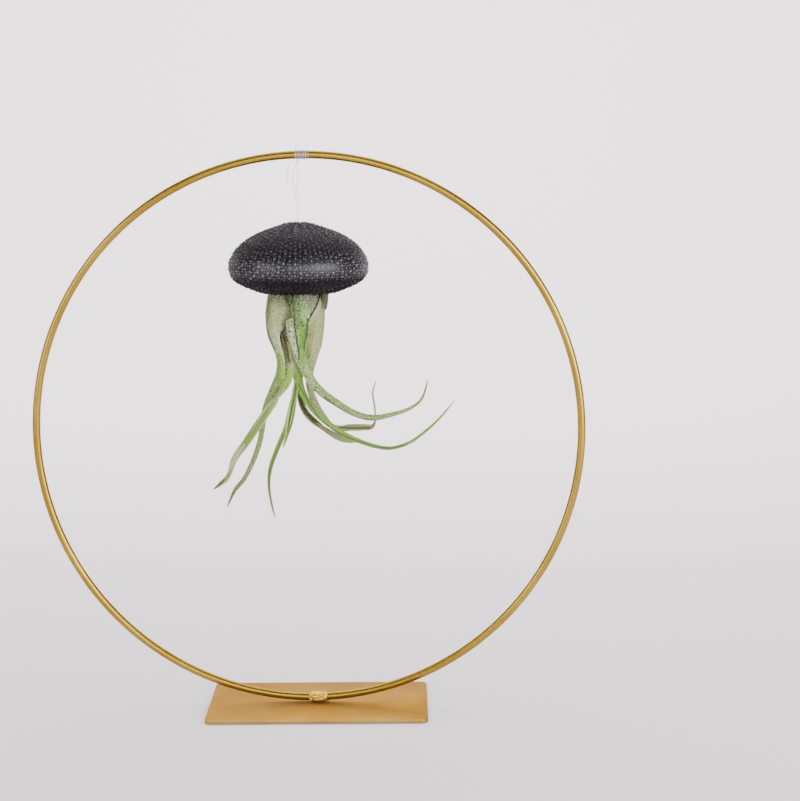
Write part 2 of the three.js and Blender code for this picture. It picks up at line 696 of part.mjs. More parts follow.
// The glue that fills the crown of the shell round the anchor knot and grips the plant's base.
function glueSeat() {
  addMesh('glue_seat', turnedSolid(GLUE_SECTION, 24), glueMaterial);
}

basePlate();
addMesh('hoop', torusAlongHoop(wireRadius, 8, 84), goldPaint);
weldBead();
threadWinding();
threadKnot();
threadLine();
anchorKnot();
urchinShell();
glueSeat();
plant();

export default display;
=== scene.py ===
"""Finishes and fine shapes of a jellyfish air plant display.

A medusa head air plant hangs head down from a black sea urchin shell, on a clear thread tied
to the top of a gold wire hoop that stands on a flat base plate. Lengths in the classes of the
object are millimetres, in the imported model's own frame: +Z up, front towards -Y.
"""

import logging
import math
import random
from collections.abc import Callable, Iterable, Sequence
from dataclasses import dataclass
from enum import Enum

import bmesh
import bpy
from mathutils import Matrix, Vector, noise


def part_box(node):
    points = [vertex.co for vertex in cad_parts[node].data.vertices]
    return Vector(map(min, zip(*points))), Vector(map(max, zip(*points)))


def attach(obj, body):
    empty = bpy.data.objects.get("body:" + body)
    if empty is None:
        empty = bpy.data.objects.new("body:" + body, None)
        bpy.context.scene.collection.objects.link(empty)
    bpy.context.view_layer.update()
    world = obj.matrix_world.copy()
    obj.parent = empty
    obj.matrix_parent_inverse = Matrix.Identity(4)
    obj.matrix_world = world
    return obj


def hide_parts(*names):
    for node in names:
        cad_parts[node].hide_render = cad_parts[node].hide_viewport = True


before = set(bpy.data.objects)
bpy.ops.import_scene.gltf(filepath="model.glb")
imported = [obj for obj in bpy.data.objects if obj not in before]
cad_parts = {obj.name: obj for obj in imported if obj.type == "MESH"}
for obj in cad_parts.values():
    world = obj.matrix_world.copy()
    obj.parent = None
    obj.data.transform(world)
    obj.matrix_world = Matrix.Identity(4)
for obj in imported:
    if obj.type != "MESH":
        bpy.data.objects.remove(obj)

MM = 0.001
SAME_PLACE = 1e-7

log = logging.getLogger("air_plant_display")

Colour = tuple[float, float, float, float]
Place = tuple[float, float, float]
FrontPoint = tuple[float, float]
Shape = bmesh.types.BMesh
Node = bpy.types.Node
Socket = bpy.types.NodeSocket
Inputs = dict[str | int, object]


class Body(Enum):
    """The moving bodies that pieces ride on."""

    STAND = "stand"
    KNOT = "knot"
    THREAD = "thread"
    JELLYFISH = "jellyfish"


class Slot(Enum):
    """Names of the record's material slots, passed beside new pieces but not given to them."""

    GOLD_PAINT = "gold_paint"
    GOLD_WELD = "gold_weld"
    THREAD = "clear_thread"
    SHELL = "urchin_shell"
    LEAF = "leaf"
    DRY_SCALE = "dry_scale"


def tone(red: int, green: int, blue: int) -> Colour:
    """Turns an everyday colour of 0 to 255 into the linear one that shaders read.

    Args:
        red: The red share.
        green: The green share.
        blue: The blue share.

    Returns:
        The linear colour with full alpha.
    """
    shares = (value / 255 for value in (red, green, blue))
    linear = (v / 12.92 if v <= 0.04045 else ((v + 0.055) / 1.055) ** 2.4 for v in shares)
    return (*linear, 1.0)


def lerp(start: float, end: float, share: float) -> float:
    """Returns the value that share of the way from start to end."""
    return start + (end - start) * share


def clamp(value: float, low: float = 0.0, high: float = 1.0) -> float:
    """Returns value, kept between low and high."""
    return max(low, min(high, value))


def ease(value: float) -> float:
    """Returns a smooth step of value from 0 to 1."""
    held = clamp(value)
    return held * held * (3 - 2 * held)


@dataclass(frozen=True)
class Ramp:
    """A smooth change from low to high, while a measure goes from since to until."""

    since: float
    until: float
    low: float = 0.0
    high: float = 1.0

    def at(self, measure: float) -> float:
        """Returns the ramp's value at a measure."""
        share = (measure - self.since) / (self.until - self.since)
        return lerp(self.low, self.high, ease(share))


def blend_tone(first: Colour, second: Colour, share: float) -> Colour:
    """Returns the colour that share of the way from the first to the second."""
    return tuple(lerp(a, b, share) for a, b in zip(first, second))


# ---------------------------------------------------------------- node work


class NodeBoard:
    """Adds and joins the nodes of one material or node group."""

    def __init__(self, tree: bpy.types.NodeTree) -> None:
        """Starts on the tree that the nodes go into."""
        self.tree = tree

    def feed(self, node: Node, inputs: Inputs) -> None:
        """Sets or links inputs of a node.

        Args:
            node: The node.
            inputs: Socket name or number to a value, or to the socket that feeds it.
        """
        for name, value in inputs.items():
            if isinstance(value, Socket):
                self.tree.links.new(value, node.inputs[name])
            else:
                node.inputs[name].default_value = value

    def add(self, kind: str, inputs: Inputs | None = None, **settings: object) -> Node:
        """Adds one node.

        Args:
            kind: The node's type name.
            inputs: What is set or linked, as in feed.
            **settings: Properties of the node itself.

        Returns:
            The new node.
        """
        node = self.tree.nodes.new(kind)
        for name, value in settings.items():
            setattr(node, name, value)
        self.feed(node, inputs or {})
        return node

    def place(self) -> Socket:
        """Returns the object's own coordinates, in metres."""
        return self.add("ShaderNodeTexCoord").outputs["Object"]

    def stretched(self, place: Socket, scale: Place) -> Socket:
        """Returns coordinates times a scale along each axis."""
        return self.add("ShaderNodeMapping", {"Vector": place, "Scale": scale}).outputs["Vector"]

    def measure(self, name: str) -> Socket:
        """Returns a number that the mesh carries on its corners."""
        return self.add("ShaderNodeAttribute", attribute_name=name).outputs["Fac"]

    def maths(self, operation: str, first: Socket, second: Socket | float) -> Socket:
        """Works out one operation on two numbers.

        Args:
            operation: The maths node's operation.
            first: The first number.
            second: The second one.

        Returns:
            The result's socket.
        """
        return self.add("ShaderNodeMath", {0: first, 1: second}, operation=operation).outputs[0]

    def times(self, first: Socket, second: Socket | float) -> Socket:
        """Returns the product of two numbers."""
        return self.maths("MULTIPLY", first, second)

    def mix(self, share: Socket, first: Socket | Colour, second: Socket | Colour) -> Socket:
        """Mixes two colours.

        Args:
            share: How much of the second colour shows.
            first: The colour at share 0.
            second: The colour at share 1.

        Returns:
            The mixed colour's socket.
        """
        colours = {0: share, 6: first, 7: second}
        return self.add("ShaderNodeMix", colours, data_type="RGBA").outputs[2]

    def spread(
        self,
        value: Socket,
        low: float = 0.0,
        high: float = 1.0,
        since: Socket | float = 0.0,
        until: Socket | float = 1.0,
        curve: str = "LINEAR",
    ) -> Socket:
        """Maps a number onto a range.

        Args:
            value: The number.
            low: The result up to since.
            high: The result from until on.
            since: Where the rise starts.
            until: Where it ends.
            curve: How it runs between them.

        Returns:
            The result's socket.
        """
        ends = {"From Min": since, "From Max": until, "To Min": low, "To Max": high}
        inputs = {"Value": value, **ends}
        return self.add("ShaderNodeMapRange", inputs, interpolation_type=curve).outputs["Result"]

    def patches(
        self,
        place: Socket,
        scale: float,
        threshold: float = 0.5,
        softness: float = 0.1,
        detail: float = 2.0,
    ) -> Socket:
        """Places the shared group of irregular patches or specks.

        Args:
            place: The coordinates that they lie in.
            scale: How fine they are.
            threshold: How rare they are.
            softness: Half the width of their soft edge.
            detail: How ragged they are.

        Returns:
            The socket of their mask.
        """
        inputs = {"Scale": scale, "Detail": detail, "Threshold": threshold, "Softness": softness}
        return self._group(SharedGroup.patches(), place, inputs)

    def grain(self, place: Socket, scale: float, strength: float, depth: float = 0.0004) -> Socket:
        """Places the shared group of a fine uneven surface.

        Args:
            place: The coordinates that it lies in.
            scale: How fine it is.
            strength: How much of it shows.
            depth: Its depth in metres.

        Returns:
            The socket of its normal.
        """
        inputs = {"Scale": scale, "Strength": strength, "Depth": depth}
        return self._group(SharedGroup.grain(), place, inputs)

    def _group(self, tree: bpy.types.NodeTree, place: Socket, inputs: Inputs) -> Socket:
        """Places a shared group.

        Args:
            tree: The group's tree.
            place: The coordinates that it lies in.
            inputs: Its other inputs.

        Returns:
            The socket of its one output.
        """
        given = {"Vector": place, **inputs}
        return self.add("ShaderNodeGroup", given, node_tree=tree).outputs[0]


class SharedGroup:
    """The shader node groups that several finishes share, each built once."""

    @staticmethod
    def _build(
        name: str,
        inputs: dict[str, float],
        output: tuple[str, str],
        fill: Callable[[NodeBoard, dict[str, Socket]], Socket],
    ) -> bpy.types.NodeTree:
        """Finds a group, or builds it the first time it is asked for.

        Args:
            name: The group's name.
            inputs: Its numbers and their starting values. It has a Vector input besides.
            output: The output's name and socket type.
            fill: Adds the nodes between the inputs' sockets and the one that it returns.

        Returns:
            The group's tree.
        """
        if name in bpy.data.node_groups:
            return bpy.data.node_groups[name]
        tree = bpy.data.node_groups.new(name, "ShaderNodeTree")
        tree.interface.new_socket("Vector", in_out="INPUT", socket_type="NodeSocketVector")
        for label, value in inputs.items():
            number = tree.interface.new_socket(label, in_out="INPUT", socket_type="NodeSocketFloat")
            number.default_value = value
        tree.interface.new_socket(output[0], in_out="OUTPUT", socket_type=output[1])
        board = NodeBoard(tree)
        given = board.add("NodeGroupInput").outputs
        board.add("NodeGroupOutput", {output[0]: fill(board, given)})
        return tree

    @classmethod
    def patches(cls) -> bpy.types.NodeTree:
        """Returns the group that gives a mask of irregular patches or specks."""

        def fill(board: NodeBoard, given: dict[str, Socket]) -> Socket:
            """Cuts a soft-edged mask out of a noise."""
            cloud = {name: given[name] for name in ("Vector", "Scale", "Detail")}
            height = board.add("ShaderNodeTexNoise", cloud).outputs["Fac"]
            edge = (given["Threshold"], given["Softness"])
            low, high = board.maths("SUBTRACT", *edge), board.maths("ADD", *edge)
            return board.spread(height, since=low, until=high, curve="SMOOTHSTEP")

        numbers = {"Scale": 10.0, "Detail": 2.0, "Threshold": 0.5, "Softness": 0.1}
        return cls._build("patches", numbers, ("Mask", "NodeSocketFloat"), fill)

    @classmethod
    def grain(cls) -> bpy.types.NodeTree:
        """Returns the group that gives the normal of a fine uneven surface."""

        def fill(board: NodeBoard, given: dict[str, Socket]) -> Socket:
            """Raises a bump from a noise."""
            cloud = {"Vector": given["Vector"], "Scale": given["Scale"], "Detail": 3.0}
            height = board.add("ShaderNodeTexNoise", cloud).outputs["Fac"]
            rise = {"Strength": given["Strength"], "Distance": given["Depth"], "Height": height}
            return board.add("ShaderNodeBump", rise).outputs["Normal"]

        numbers = {"Scale": 500.0, "Strength": 0.2, "Depth": 0.0001}
        return cls._build("grain", numbers, ("Normal", "NodeSocketVector"), fill)


class Finish:
    """What every finish shares: one Blender material, made the first time it is asked for."""

    name: str

    def material(self) -> bpy.types.Material:
        """Returns the finish's material."""
        if self.name in bpy.data.materials:
            return bpy.data.materials[self.name]
        made = bpy.data.materials.new(self.name)
        made.use_nodes = True
        made.node_tree.nodes.clear()
        board = NodeBoard(made.node_tree)
        surface = board.add("ShaderNodeBsdfPrincipled")
        board.add("ShaderNodeOutputMaterial", {"Surface": surface.outputs["BSDF"]})
        board.feed(surface, self.dress(board))
        return made

    def dress(self, board: NodeBoard) -> Inputs:
        """Works out the look of the surface.

        Args:
            board: The material's nodes.

        Returns:
            What each input of the Principled shader is set to or fed by.
        """
        raise NotImplementedError


@dataclass(frozen=True)
class SatinGold(Finish):
    """Metallic gold paint, slightly uneven in tone and gloss."""

    name: str = "satin_gold"
    base: Colour = tone(169, 138, 84)
    deep: Colour = tone(149, 118, 63)
    edge: Colour = tone(188, 164, 132)
    roughness: float = 0.33
    fleck_roughness: float = 0.12
    metallic: float = 0.93
    gloss: float = 0.25
    cloud_scale: float = 22.0
    fleck_scale: float = 2600.0
    grain_scale: float = 900.0
    grain_strength: float = 0.06
    grain_depth: float = 0.0002

    def dress(self, board: NodeBoard) -> Inputs:
        """Returns drifting tone, fine flecks and a faint orange peel."""
        place = board.place()
        drift = board.patches(place, self.cloud_scale, softness=0.22)
        fleck = board.patches(place, self.fleck_scale, threshold=0.56)
        return {
            "Base Color": board.mix(drift, self.base, self.deep),
            "Metallic": self.metallic,
            "Roughness": board.spread(fleck, self.roughness, self.roughness + self.fleck_roughness),
            "Specular IOR Level": self.gloss,
            "Specular Tint": self.edge,
            "Normal": board.grain(place, self.grain_scale, self.grain_strength, self.grain_depth),
        }


@dataclass(frozen=True)
class ClearNylon(Finish):
    """Glassy nylon thread."""

    name: str = "clear_nylon"
    base: Colour = tone(236, 240, 242)
    roughness: float = 0.12
    haze_roughness: float = 0.1
    refraction: float = 1.53
    transmission: float = 0.75

    def dress(self, board: NodeBoard) -> Inputs:
        """Returns a clear gloss with faint clouding along the thread."""
        haze = board.patches(board.place(), 700.0, softness=0.2)
        return {
            "Base Color": self.base,
            "Roughness": board.spread(haze, self.roughness, self.roughness + self.haze_roughness),
            "IOR": self.refraction,
            "Transmission Weight": self.transmission,
        }


@dataclass(frozen=True)
class SetGlue(Finish):
    """Clouded glue, set hard."""

    name: str = "set_glue"
    base: Colour = tone(222, 216, 196)
    bubble: Colour = tone(246, 243, 232)
    roughness: float = 0.28
    transmission: float = 0.35

    def dress(self, board: NodeBoard) -> Inputs:
        """Returns a milky gloss with small bubbles."""
        place = board.place()
        bubbles = board.patches(place, 900.0, threshold=0.62, softness=0.04)
        return {
            "Base Color": board.mix(bubbles, self.base, self.bubble),
            "Roughness": self.roughness,
            "Transmission Weight": self.transmission,
            "Normal": board.grain(place, 300.0, strength=0.3),
        }


@dataclass(frozen=True)
class UrchinBlack(Finish):
    """The satin black test of a sea urchin, with paler tubercle tips that are partly worn and
    partly a painted glint.

    Its coat thickens from sunk_coat between the tubercles to raised_coat at the share
    coated_from of their height. The pale tip, partly wear and partly a painted glint, comes in
    between the two shares of worn.
    """

    name: str = "urchin_black"
    base: Colour = tone(13, 13, 16)
    dusk: Colour = tone(22, 19, 23)
    pore: Colour = tone(5, 5, 7)
    # Pale tubercle tips: partly wear, partly a painted glint.
    tip: Colour = tone(50, 50, 55)
    # Mauve sheen tint: a painted reflection of pink surroundings at the rims.
    mauve_reflection_tint: Colour = tone(214, 132, 164)
    roughness: float = 0.4
    gloss: float = 0.06
    coat_roughness: float = 0.35
    coat_refraction: float = 2.6
    sunk_coat: float = 0.16
    raised_coat: float = 0.9
    coated_from: float = 0.6
    worn_and_glint: tuple[float, float] = (0.68, 0.8)
    pore_share: float = 0.8
    sheen: float = 0.12
    sheen_roughness: float = 0.3

    def dress(self, board: NodeBoard) -> Inputs:
        """Returns the black skin, its pores, its paler tips and a mauve sheen that is a painted
        reflection of pink surroundings.
        """
        place = board.place()
        raised = board.measure("tubercle")
        drift = board.patches(place, 90.0, softness=0.2)
        pores = board.patches(place, 1300.0, threshold=0.56, softness=0.06)
        skin = board.mix(drift, self.base, self.dusk)
        pitted = board.mix(board.times(pores, self.pore_share), skin, self.pore)
        since, until = self.worn_and_glint
        # Mask of the pale tips, partly wear and partly a painted glint.
        worn_and_glint = board.spread(raised, since=since, until=until, curve="SMOOTHSTEP")
        coat = board.spread(raised, self.sunk_coat, self.raised_coat, until=self.coated_from)
        return {
            "Base Color": board.mix(worn_and_glint, pitted, self.tip),
            "Roughness": self.roughness,
            "Specular IOR Level": self.gloss,
            "Coat Weight": board.times(coat, board.measure("shine")),
            "Coat Roughness": self.coat_roughness,
            "Coat IOR": self.coat_refraction,
            "Sheen Weight": self.sheen,
            "Sheen Roughness": self.sheen_roughness,
            "Sheen Tint": self.mauve_reflection_tint,
            "Normal": board.grain(place, 1500.0, strength=0.8),
        }


@dataclass(frozen=True)
class DryFibre(Finish):
    """The fibrous brown skin of the plant's old stem."""

    name: str = "dry_fibre"
    base: Colour = tone(122, 98, 66)
    dark: Colour = tone(72, 54, 34)
    roughness: float = 0.85

    def dress(self, board: NodeBoard) -> Inputs:
        """Returns streaks that run up the stem."""
        stretched = board.stretched(board.place(), (1.0, 1.0, 0.12))
        streaks = board.patches(stretched, 1200.0, softness=0.12)
        return {
            "Base Color": board.mix(streaks, self.base, self.dark),
            "Roughness": self.roughness,
            "Normal": board.grain(stretched, 1500.0, strength=0.7),
        }


@dataclass(frozen=True)
class LeafSkin(Finish):
    """A leaf's skin: its own painted tone, dark green flecks and a dust of silvery scales.

    The painted tone's saturation and value are multiplied by richness and value. The smaller a
    stretch, the longer the flecks or the ribs and stripes run along the leaf.
    """

    name: str = "leaf_skin"
    fleck: Colour = tone(38, 58, 14)
    dust: Colour = tone(184, 194, 156)
    richness: float = 1.35
    value: float = 0.72
    stripe_value: float = 0.5
    roughness: float = 0.55
    gloss: float = 0.28
    fleck_scale: float = 1.1
    fleck_stretch: float = 0.55
    dust_scale: float = 1.5
    dust_share: float = 0.6
    stripe_scale: float = 1.1
    stripe_share: float = 0.4
    rib_scale: float = 2.4
    rib_stretch: float = 0.04

    def dress(self, board: NodeBoard) -> Inputs:
        """Returns the painted tone under stripes, scales and flecks, with fine ribs."""
        skin = board.add("ShaderNodeAttribute", attribute_name="skin_tone").outputs
        along = board.add("ShaderNodeUVMap", uv_map="skin_map").outputs["UV"]
        oval = board.stretched(along, (1.0, self.fleck_stretch, 1.0))
        ribbed = board.stretched(along, (1.0, self.rib_stretch, 1.0))
        ripe, deep = (
            board.add(
                "ShaderNodeHueSaturation",
                {"Saturation": self.richness, "Value": value, "Color": skin["Color"]},
            ).outputs["Color"]
            for value in (self.value, self.value * self.stripe_value)
        )
        stripes = board.patches(ribbed, self.stripe_scale)
        striped = board.mix(board.times(stripes, self.stripe_share), ripe, deep)
        scales = board.patches(along, self.dust_scale, threshold=0.53, softness=0.06, detail=4.0)
        cover = board.times(scales, skin["Alpha"])
        dusted = board.mix(board.times(cover, self.dust_share), striped, self.dust)
        flecks = board.patches(oval, self.fleck_scale, threshold=0.58, softness=0.06, detail=1.5)
        density = board.times(flecks, board.measure("fleck_share"))
        return {
            "Base Color": board.mix(density, dusted, self.fleck),
            "Roughness": self.roughness,
            "Specular IOR Level": self.gloss,
            "Normal": board.grain(ribbed, self.rib_scale, strength=0.6),
        }


# ---------------------------------------------------------------- shared building steps


def placed(name: str, data: bpy.types.ID) -> bpy.types.Object:
    """Returns a new object of the scene that holds the data."""
    made = bpy.data.objects.new(name, data)
    bpy.context.scene.collection.objects.link(made)
    return made


def as_mesh(name: str, shape: Shape) -> bpy.types.Mesh:
    """Returns a new mesh of the shape, and frees the shape."""
    mesh = bpy.data.meshes.new(name)
    shape.to_mesh(mesh)
    shape.free()
    return mesh


def coated(name: str, mesh: bpy.types.Mesh, finish: Finish) -> bpy.types.Object:
    """Makes a smooth object of the scene.

    Args:
        name: Its name.
        mesh: Its mesh.
        finish: What it is coated with.

    Returns:
        The new object.
    """
    mesh.shade_smooth()
    mesh.materials.clear()
    mesh.materials.append(finish.material())
    return placed(name, mesh)


def turns_of(count: int) -> list[float]:
    """Returns count even angles of one whole turn, in radians."""
    return [math.tau * k / count for k in range(count)]


class SubAssembly:
    """Steps that every sub-assembly shares."""

    body: Body

    def make_piece(
        self, name: str, shape: Shape, finish: Finish, sharp_from: float | None = None
    ) -> bpy.types.Object:
        """Turns a finished shape into an object of the scene.

        Args:
            name: The piece's name.
            shape: Its shape in metres. It is freed.
            finish: What it is coated with.
            sharp_from: Edges that turn more than these degrees stay sharp.

        Returns:
            The new object.
        """
        piece = coated(name, as_mesh(name, shape), finish)
        if sharp_from is not None:
            piece.data.set_sharp_from_angle(angle=math.radians(sharp_from))
        return piece

    def seat(
        self, piece: bpy.types.Object, slot: Slot, *nodes: str, body: Body | None = None
    ) -> None:
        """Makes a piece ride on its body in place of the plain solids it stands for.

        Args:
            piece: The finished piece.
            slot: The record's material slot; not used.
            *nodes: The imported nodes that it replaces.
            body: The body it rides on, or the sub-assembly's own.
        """
        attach(piece, (body or self.body).value)
        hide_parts(*nodes)
        log.info("%s: %d faces, for %s", piece.name, len(piece.data.polygons), ", ".join(nodes))

    def coat_node(self, node: str, finish: Finish) -> None:
        """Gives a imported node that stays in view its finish.

        Args:
            node: The node's name.
            finish: What it is coated with.
        """
        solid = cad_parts[node]
        solid.data.materials.clear()
        solid.data.materials.append(finish.material())
        log.info("%s: kept as packed, finished with %s", node, finish.name)

    def round_cord(
        self, name: str, routes: Iterable[Sequence[Vector]], diameter: float, finish: Finish
    ) -> bpy.types.Object:
        """Makes round threads that follow smooth routes.

        Args:
            name: The piece's name.
            routes: The points of each thread, in millimetres.
            diameter: The thread's diameter in millimetres.
            finish: What it is made of.

        Returns:
            The new object, a mesh.
        """
        curve = bpy.data.curves.new(name, "CURVE")
        curve.dimensions = "3D"
        curve.bevel_depth = diameter / 2 * MM
        curve.bevel_resolution = 3
        curve.use_fill_caps = True
        for route in routes:
            spline = curve.splines.new("NURBS")
            spline.points.add(len(route) - 1)
            for point, spot in zip(spline.points, route):
                point.co = (*(spot * MM), 1.0)
            spline.use_endpoint_u = True
            spline.order_u = 4
            spline.resolution_u = 4
        source = placed(name + "_route", curve)
        bpy.context.view_layer.update()
        shown = source.evaluated_get(bpy.context.evaluated_depsgraph_get())
        mesh = bpy.data.meshes.new_from_object(shown)
        bpy.data.objects.remove(source)
        mesh.name = name
        return coated(name, mesh, finish)


def spun(profile: Sequence[tuple[float, float]], steps: int, about: Vector) -> Shape:
    """Spins a closed profile once round an upright axis.

    Args:
        profile: Radius and height of each point, in millimetres.
        steps: How many faces go round.
        about: The axis's place, in millimetres.

    Returns:
        The turned shape in metres.
    """
    shape = bmesh.new()
    corners = [shape.verts.new((about.x * MM + r * MM, about.y * MM, z * MM)) for r, z in profile]
    edges = [shape.edges.new(pair) for pair in zip(corners, corners[1:] + corners[:1])]
    section = {"geom": corners + edges, "cent": about * MM, "axis": (0, 0, 1)}
    bmesh.ops.spin(shape, **section, angle=math.tau, steps=steps, use_merge=True)
    bmesh.ops.remove_doubles(shape, verts=shape.verts, dist=SAME_PLACE)
    bmesh.ops.recalc_face_normals(shape, faces=shape.faces)
    return shape


def smooth_value(values: Sequence[float], share: float) -> float:
    """Reads a smooth curve through a list of values.

    Args:
        values: The values at even steps.
        share: Where to read, from 0 at the first to 1 at the last.

    Returns:
        The value there.
    """
    at = share * (len(values) - 1)
    i = min(int(at), len(values) - 2)
    a, b, c, d = (values[int(clamp(k, 0, len(values) - 1))] for k in (i - 1, i, i + 1, i + 2))
    s = at - i
    slope_in = (c - a) / 2
    slope_out = (d - b) / 2
    cubic = 2 * b - 2 * c + slope_in + slope_out
    square = -3 * b + 3 * c - 2 * slope_in - slope_out
    return ((cubic * s + square) * s + slope_in) * s + b


# ---------------------------------------------------------------- stand


@dataclass
class Stand(SubAssembly):
    """The base plate, the hoop, its weld and the thread wound round its top.

    The weld is a cube of size 1, rounded and made lumpy by layers of a fineness and a height,
    then sized to weld_fill of its packed box. The winding's first layer lies winding_slack off
    the wire and its second one winding_layer further out. Its ends are steps away from its
    first and its last turn.
    """

    body: Body = Body.STAND
    gold: SatinGold = SatinGold()
    weld_gold: SatinGold = SatinGold(
        name="weld_gold",
        base=tone(232, 190, 84),
        deep=tone(200, 156, 58),
        edge=tone(196, 160, 88),
        roughness=0.3,
        metallic=0.85,
        cloud_scale=400.0,
        grain_strength=0.4,
    )
    wire_gold: SatinGold = SatinGold(
        name="wire_gold",
        base=tone(166, 136, 56),
        deep=tone(146, 116, 42),
        edge=tone(182, 155, 94),
        roughness=0.26,
    )
    nylon: ClearNylon = ClearNylon()
    weld_fill: Place = (1.38, 1.0, 0.9)
    weld_lumps: tuple[tuple[float, float], ...] = ((4.0, 0.14), (11.0, 0.07))
    weld_round: float = 0.3
    weld_faces: int = 5
    plate_corner: float = 3.8
    corner_faces: int = 10
    plate_edge: float = 0.25
    edge_faces: int = 3
    hoop_diameter: float = 300.0
    hoop_steps: int = 288
    wire: float = 4.2
    wire_sides: int = 24
    hoop_x: float = -4.5
    hoop_turn: float = -2.85
    gap: float = 0.3
    thread: float = 0.4
    winding_x: float = -5.7
    winding_width: float = 7.4
    winding_turns: float = 5.5
    winding_layer: float = 0.36
    winding_slack: float = 0.05
    winding_wander: float = 0.045
    points_a_turn: int = 16
    loose_end: tuple[Place, ...] = (
        (-4.8, 4.2, -16), (-4.2, 3.6, -9), (-3.2, 2.2, -4), (-1.4, 0.8, -1.2),
    )
    short_end: Place = (0.5, -0.3, 5.5)

    @property
    def wire_radius(self) -> float:
        """Half the wire's diameter."""
        return self.wire / 2

    @property
    def ring_radius(self) -> float:
        """The radius of the hoop at the middle of its wire."""
        return self.hoop_diameter / 2 - self.wire_radius

    @property
    def hoop_centre(self) -> Vector:
        """The hoop's middle, over the plate's top face."""
        plate_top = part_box("base_plate")[1].z / MM
        return Vector((self.hoop_x, 0, plate_top + self.gap + self.hoop_diameter / 2))

    def on_wire(self, hoop_angle: float, wire_angle: float, away: float) -> Vector:
        """Finds a point near the wire.

        Args:
            hoop_angle: Round the hoop from its top, in radians.
            wire_angle: Round the wire, in radians.
            away: Distance from the wire's middle line.

        Returns:
            The point in millimetres.
        """
        radial = self.ring_radius + away * math.cos(wire_angle)
        across, up = radial * math.sin(hoop_angle), radial * math.cos(hoop_angle)
        turn = Matrix.Rotation(math.radians(self.hoop_turn), 3, "Z")
        return turn @ Vector((across, away * math.sin(wire_angle), up)) + self.hoop_centre

    def angle_at(self, x: float) -> float:
        """Returns the angle round the hoop, from its top, of the wire at x."""
        return math.asin((x - self.hoop_x) / self.ring_radius)

    @staticmethod
    def _round(shape: Shape, edges: list[bmesh.types.BMEdge], radius: float, segments: int) -> None:
        """Rounds edges of a shape.

        Args:
            shape: The shape.
            edges: Its edges to round.
            radius: How far from the edge the rounding starts, in metres.
            segments: How many faces cross it.
        """
        bend = {"offset_type": "OFFSET", "affect": "EDGES", "profile": 0.5, "material": -1}
        bmesh.ops.bevel(shape, geom=edges, offset=radius, segments=segments, **bend)

    def build_plate(self) -> None:
        """Builds the flat plate with its round corners and softened rims."""
        low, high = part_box("base_plate")
        shape = bmesh.new()
        bmesh.ops.create_cube(shape, size=1.0)
        bmesh.ops.scale(shape, vec=high - low, verts=shape.verts)
        bmesh.ops.translate(shape, vec=(low + high) / 2, verts=shape.verts)
        upright = [e for e in shape.edges if abs(e.verts[0].co.z - e.verts[1].co.z) > MM]
        self._round(shape, upright, self.plate_corner * MM, self.corner_faces)
        rims = [e for e in shape.edges if abs(e.verts[0].co.z - e.verts[1].co.z) < MM]
        self._round(shape, rims, self.plate_edge * MM, self.edge_faces)
        plate = self.make_piece("gold_plate", shape, self.gold, sharp_from=40)
        self.seat(plate, Slot.GOLD_PAINT, "base_plate")

    def build_hoop(self) -> None:
        """Builds the hoop by spinning the wire's round section once about its middle."""
        section = [
            (self.ring_radius + self.wire_radius * math.cos(a), self.wire_radius * math.sin(a))
            for a in turns_of(self.wire_sides)
        ]
        shape = spun(section, self.hoop_steps, Vector())
        stand_up = (
            Matrix.Translation(self.hoop_centre * MM)
            @ Matrix.Rotation(math.radians(self.hoop_turn), 4, "Z")
            @ Matrix.Rotation(math.pi / 2, 4, "X")
        )
        bmesh.ops.transform(shape, matrix=stand_up, verts=shape.verts)
        hoop = self.make_piece("gold_hoop", shape, self.wire_gold)
        self.seat(hoop, Slot.GOLD_PAINT, "hoop")

    def build_weld(self) -> None:
        """Builds the lumpy bead that wraps the wire where it meets the plate."""
        shape = bmesh.new()
        bmesh.ops.create_cube(shape, size=1.0)
        self._round(shape, shape.edges[:], self.weld_round, self.weld_faces)
        bmesh.ops.subdivide_edges(shape, edges=shape.edges[:], cuts=2, use_grid_fill=True)
        everywhere = {f"use_axis_{axis}": True for axis in "xyz"}
        bmesh.ops.smooth_vert(shape, verts=shape.verts, factor=0.5, **everywhere)
        for corner in shape.verts:
            lump = sum(noise.noise(corner.co * fine) * high for fine, high in self.weld_lumps)
            corner.co *= 1 + lump
        low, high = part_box("weld_bead")
        spans = [
            max(v.co[k] for v in shape.verts) - min(v.co[k] for v in shape.verts) for k in range(3)
        ]
        full = Vector([(high[k] - low[k]) * self.weld_fill[k] / spans[k] for k in range(3)])
        bmesh.ops.scale(shape, vec=full, verts=shape.verts)
        middle = (low + high) / 2
        lowest = min(v.co.z for v in shape.verts)
        bmesh.ops.translate(shape, vec=(middle.x, middle.y, low.z - lowest), verts=shape.verts)
        bmesh.ops.recalc_face_normals(shape, faces=shape.faces)
        bead = self.make_piece("gold_weld", shape, self.weld_gold, sharp_from=60)
        self.seat(bead, Slot.GOLD_WELD, "weld_bead")

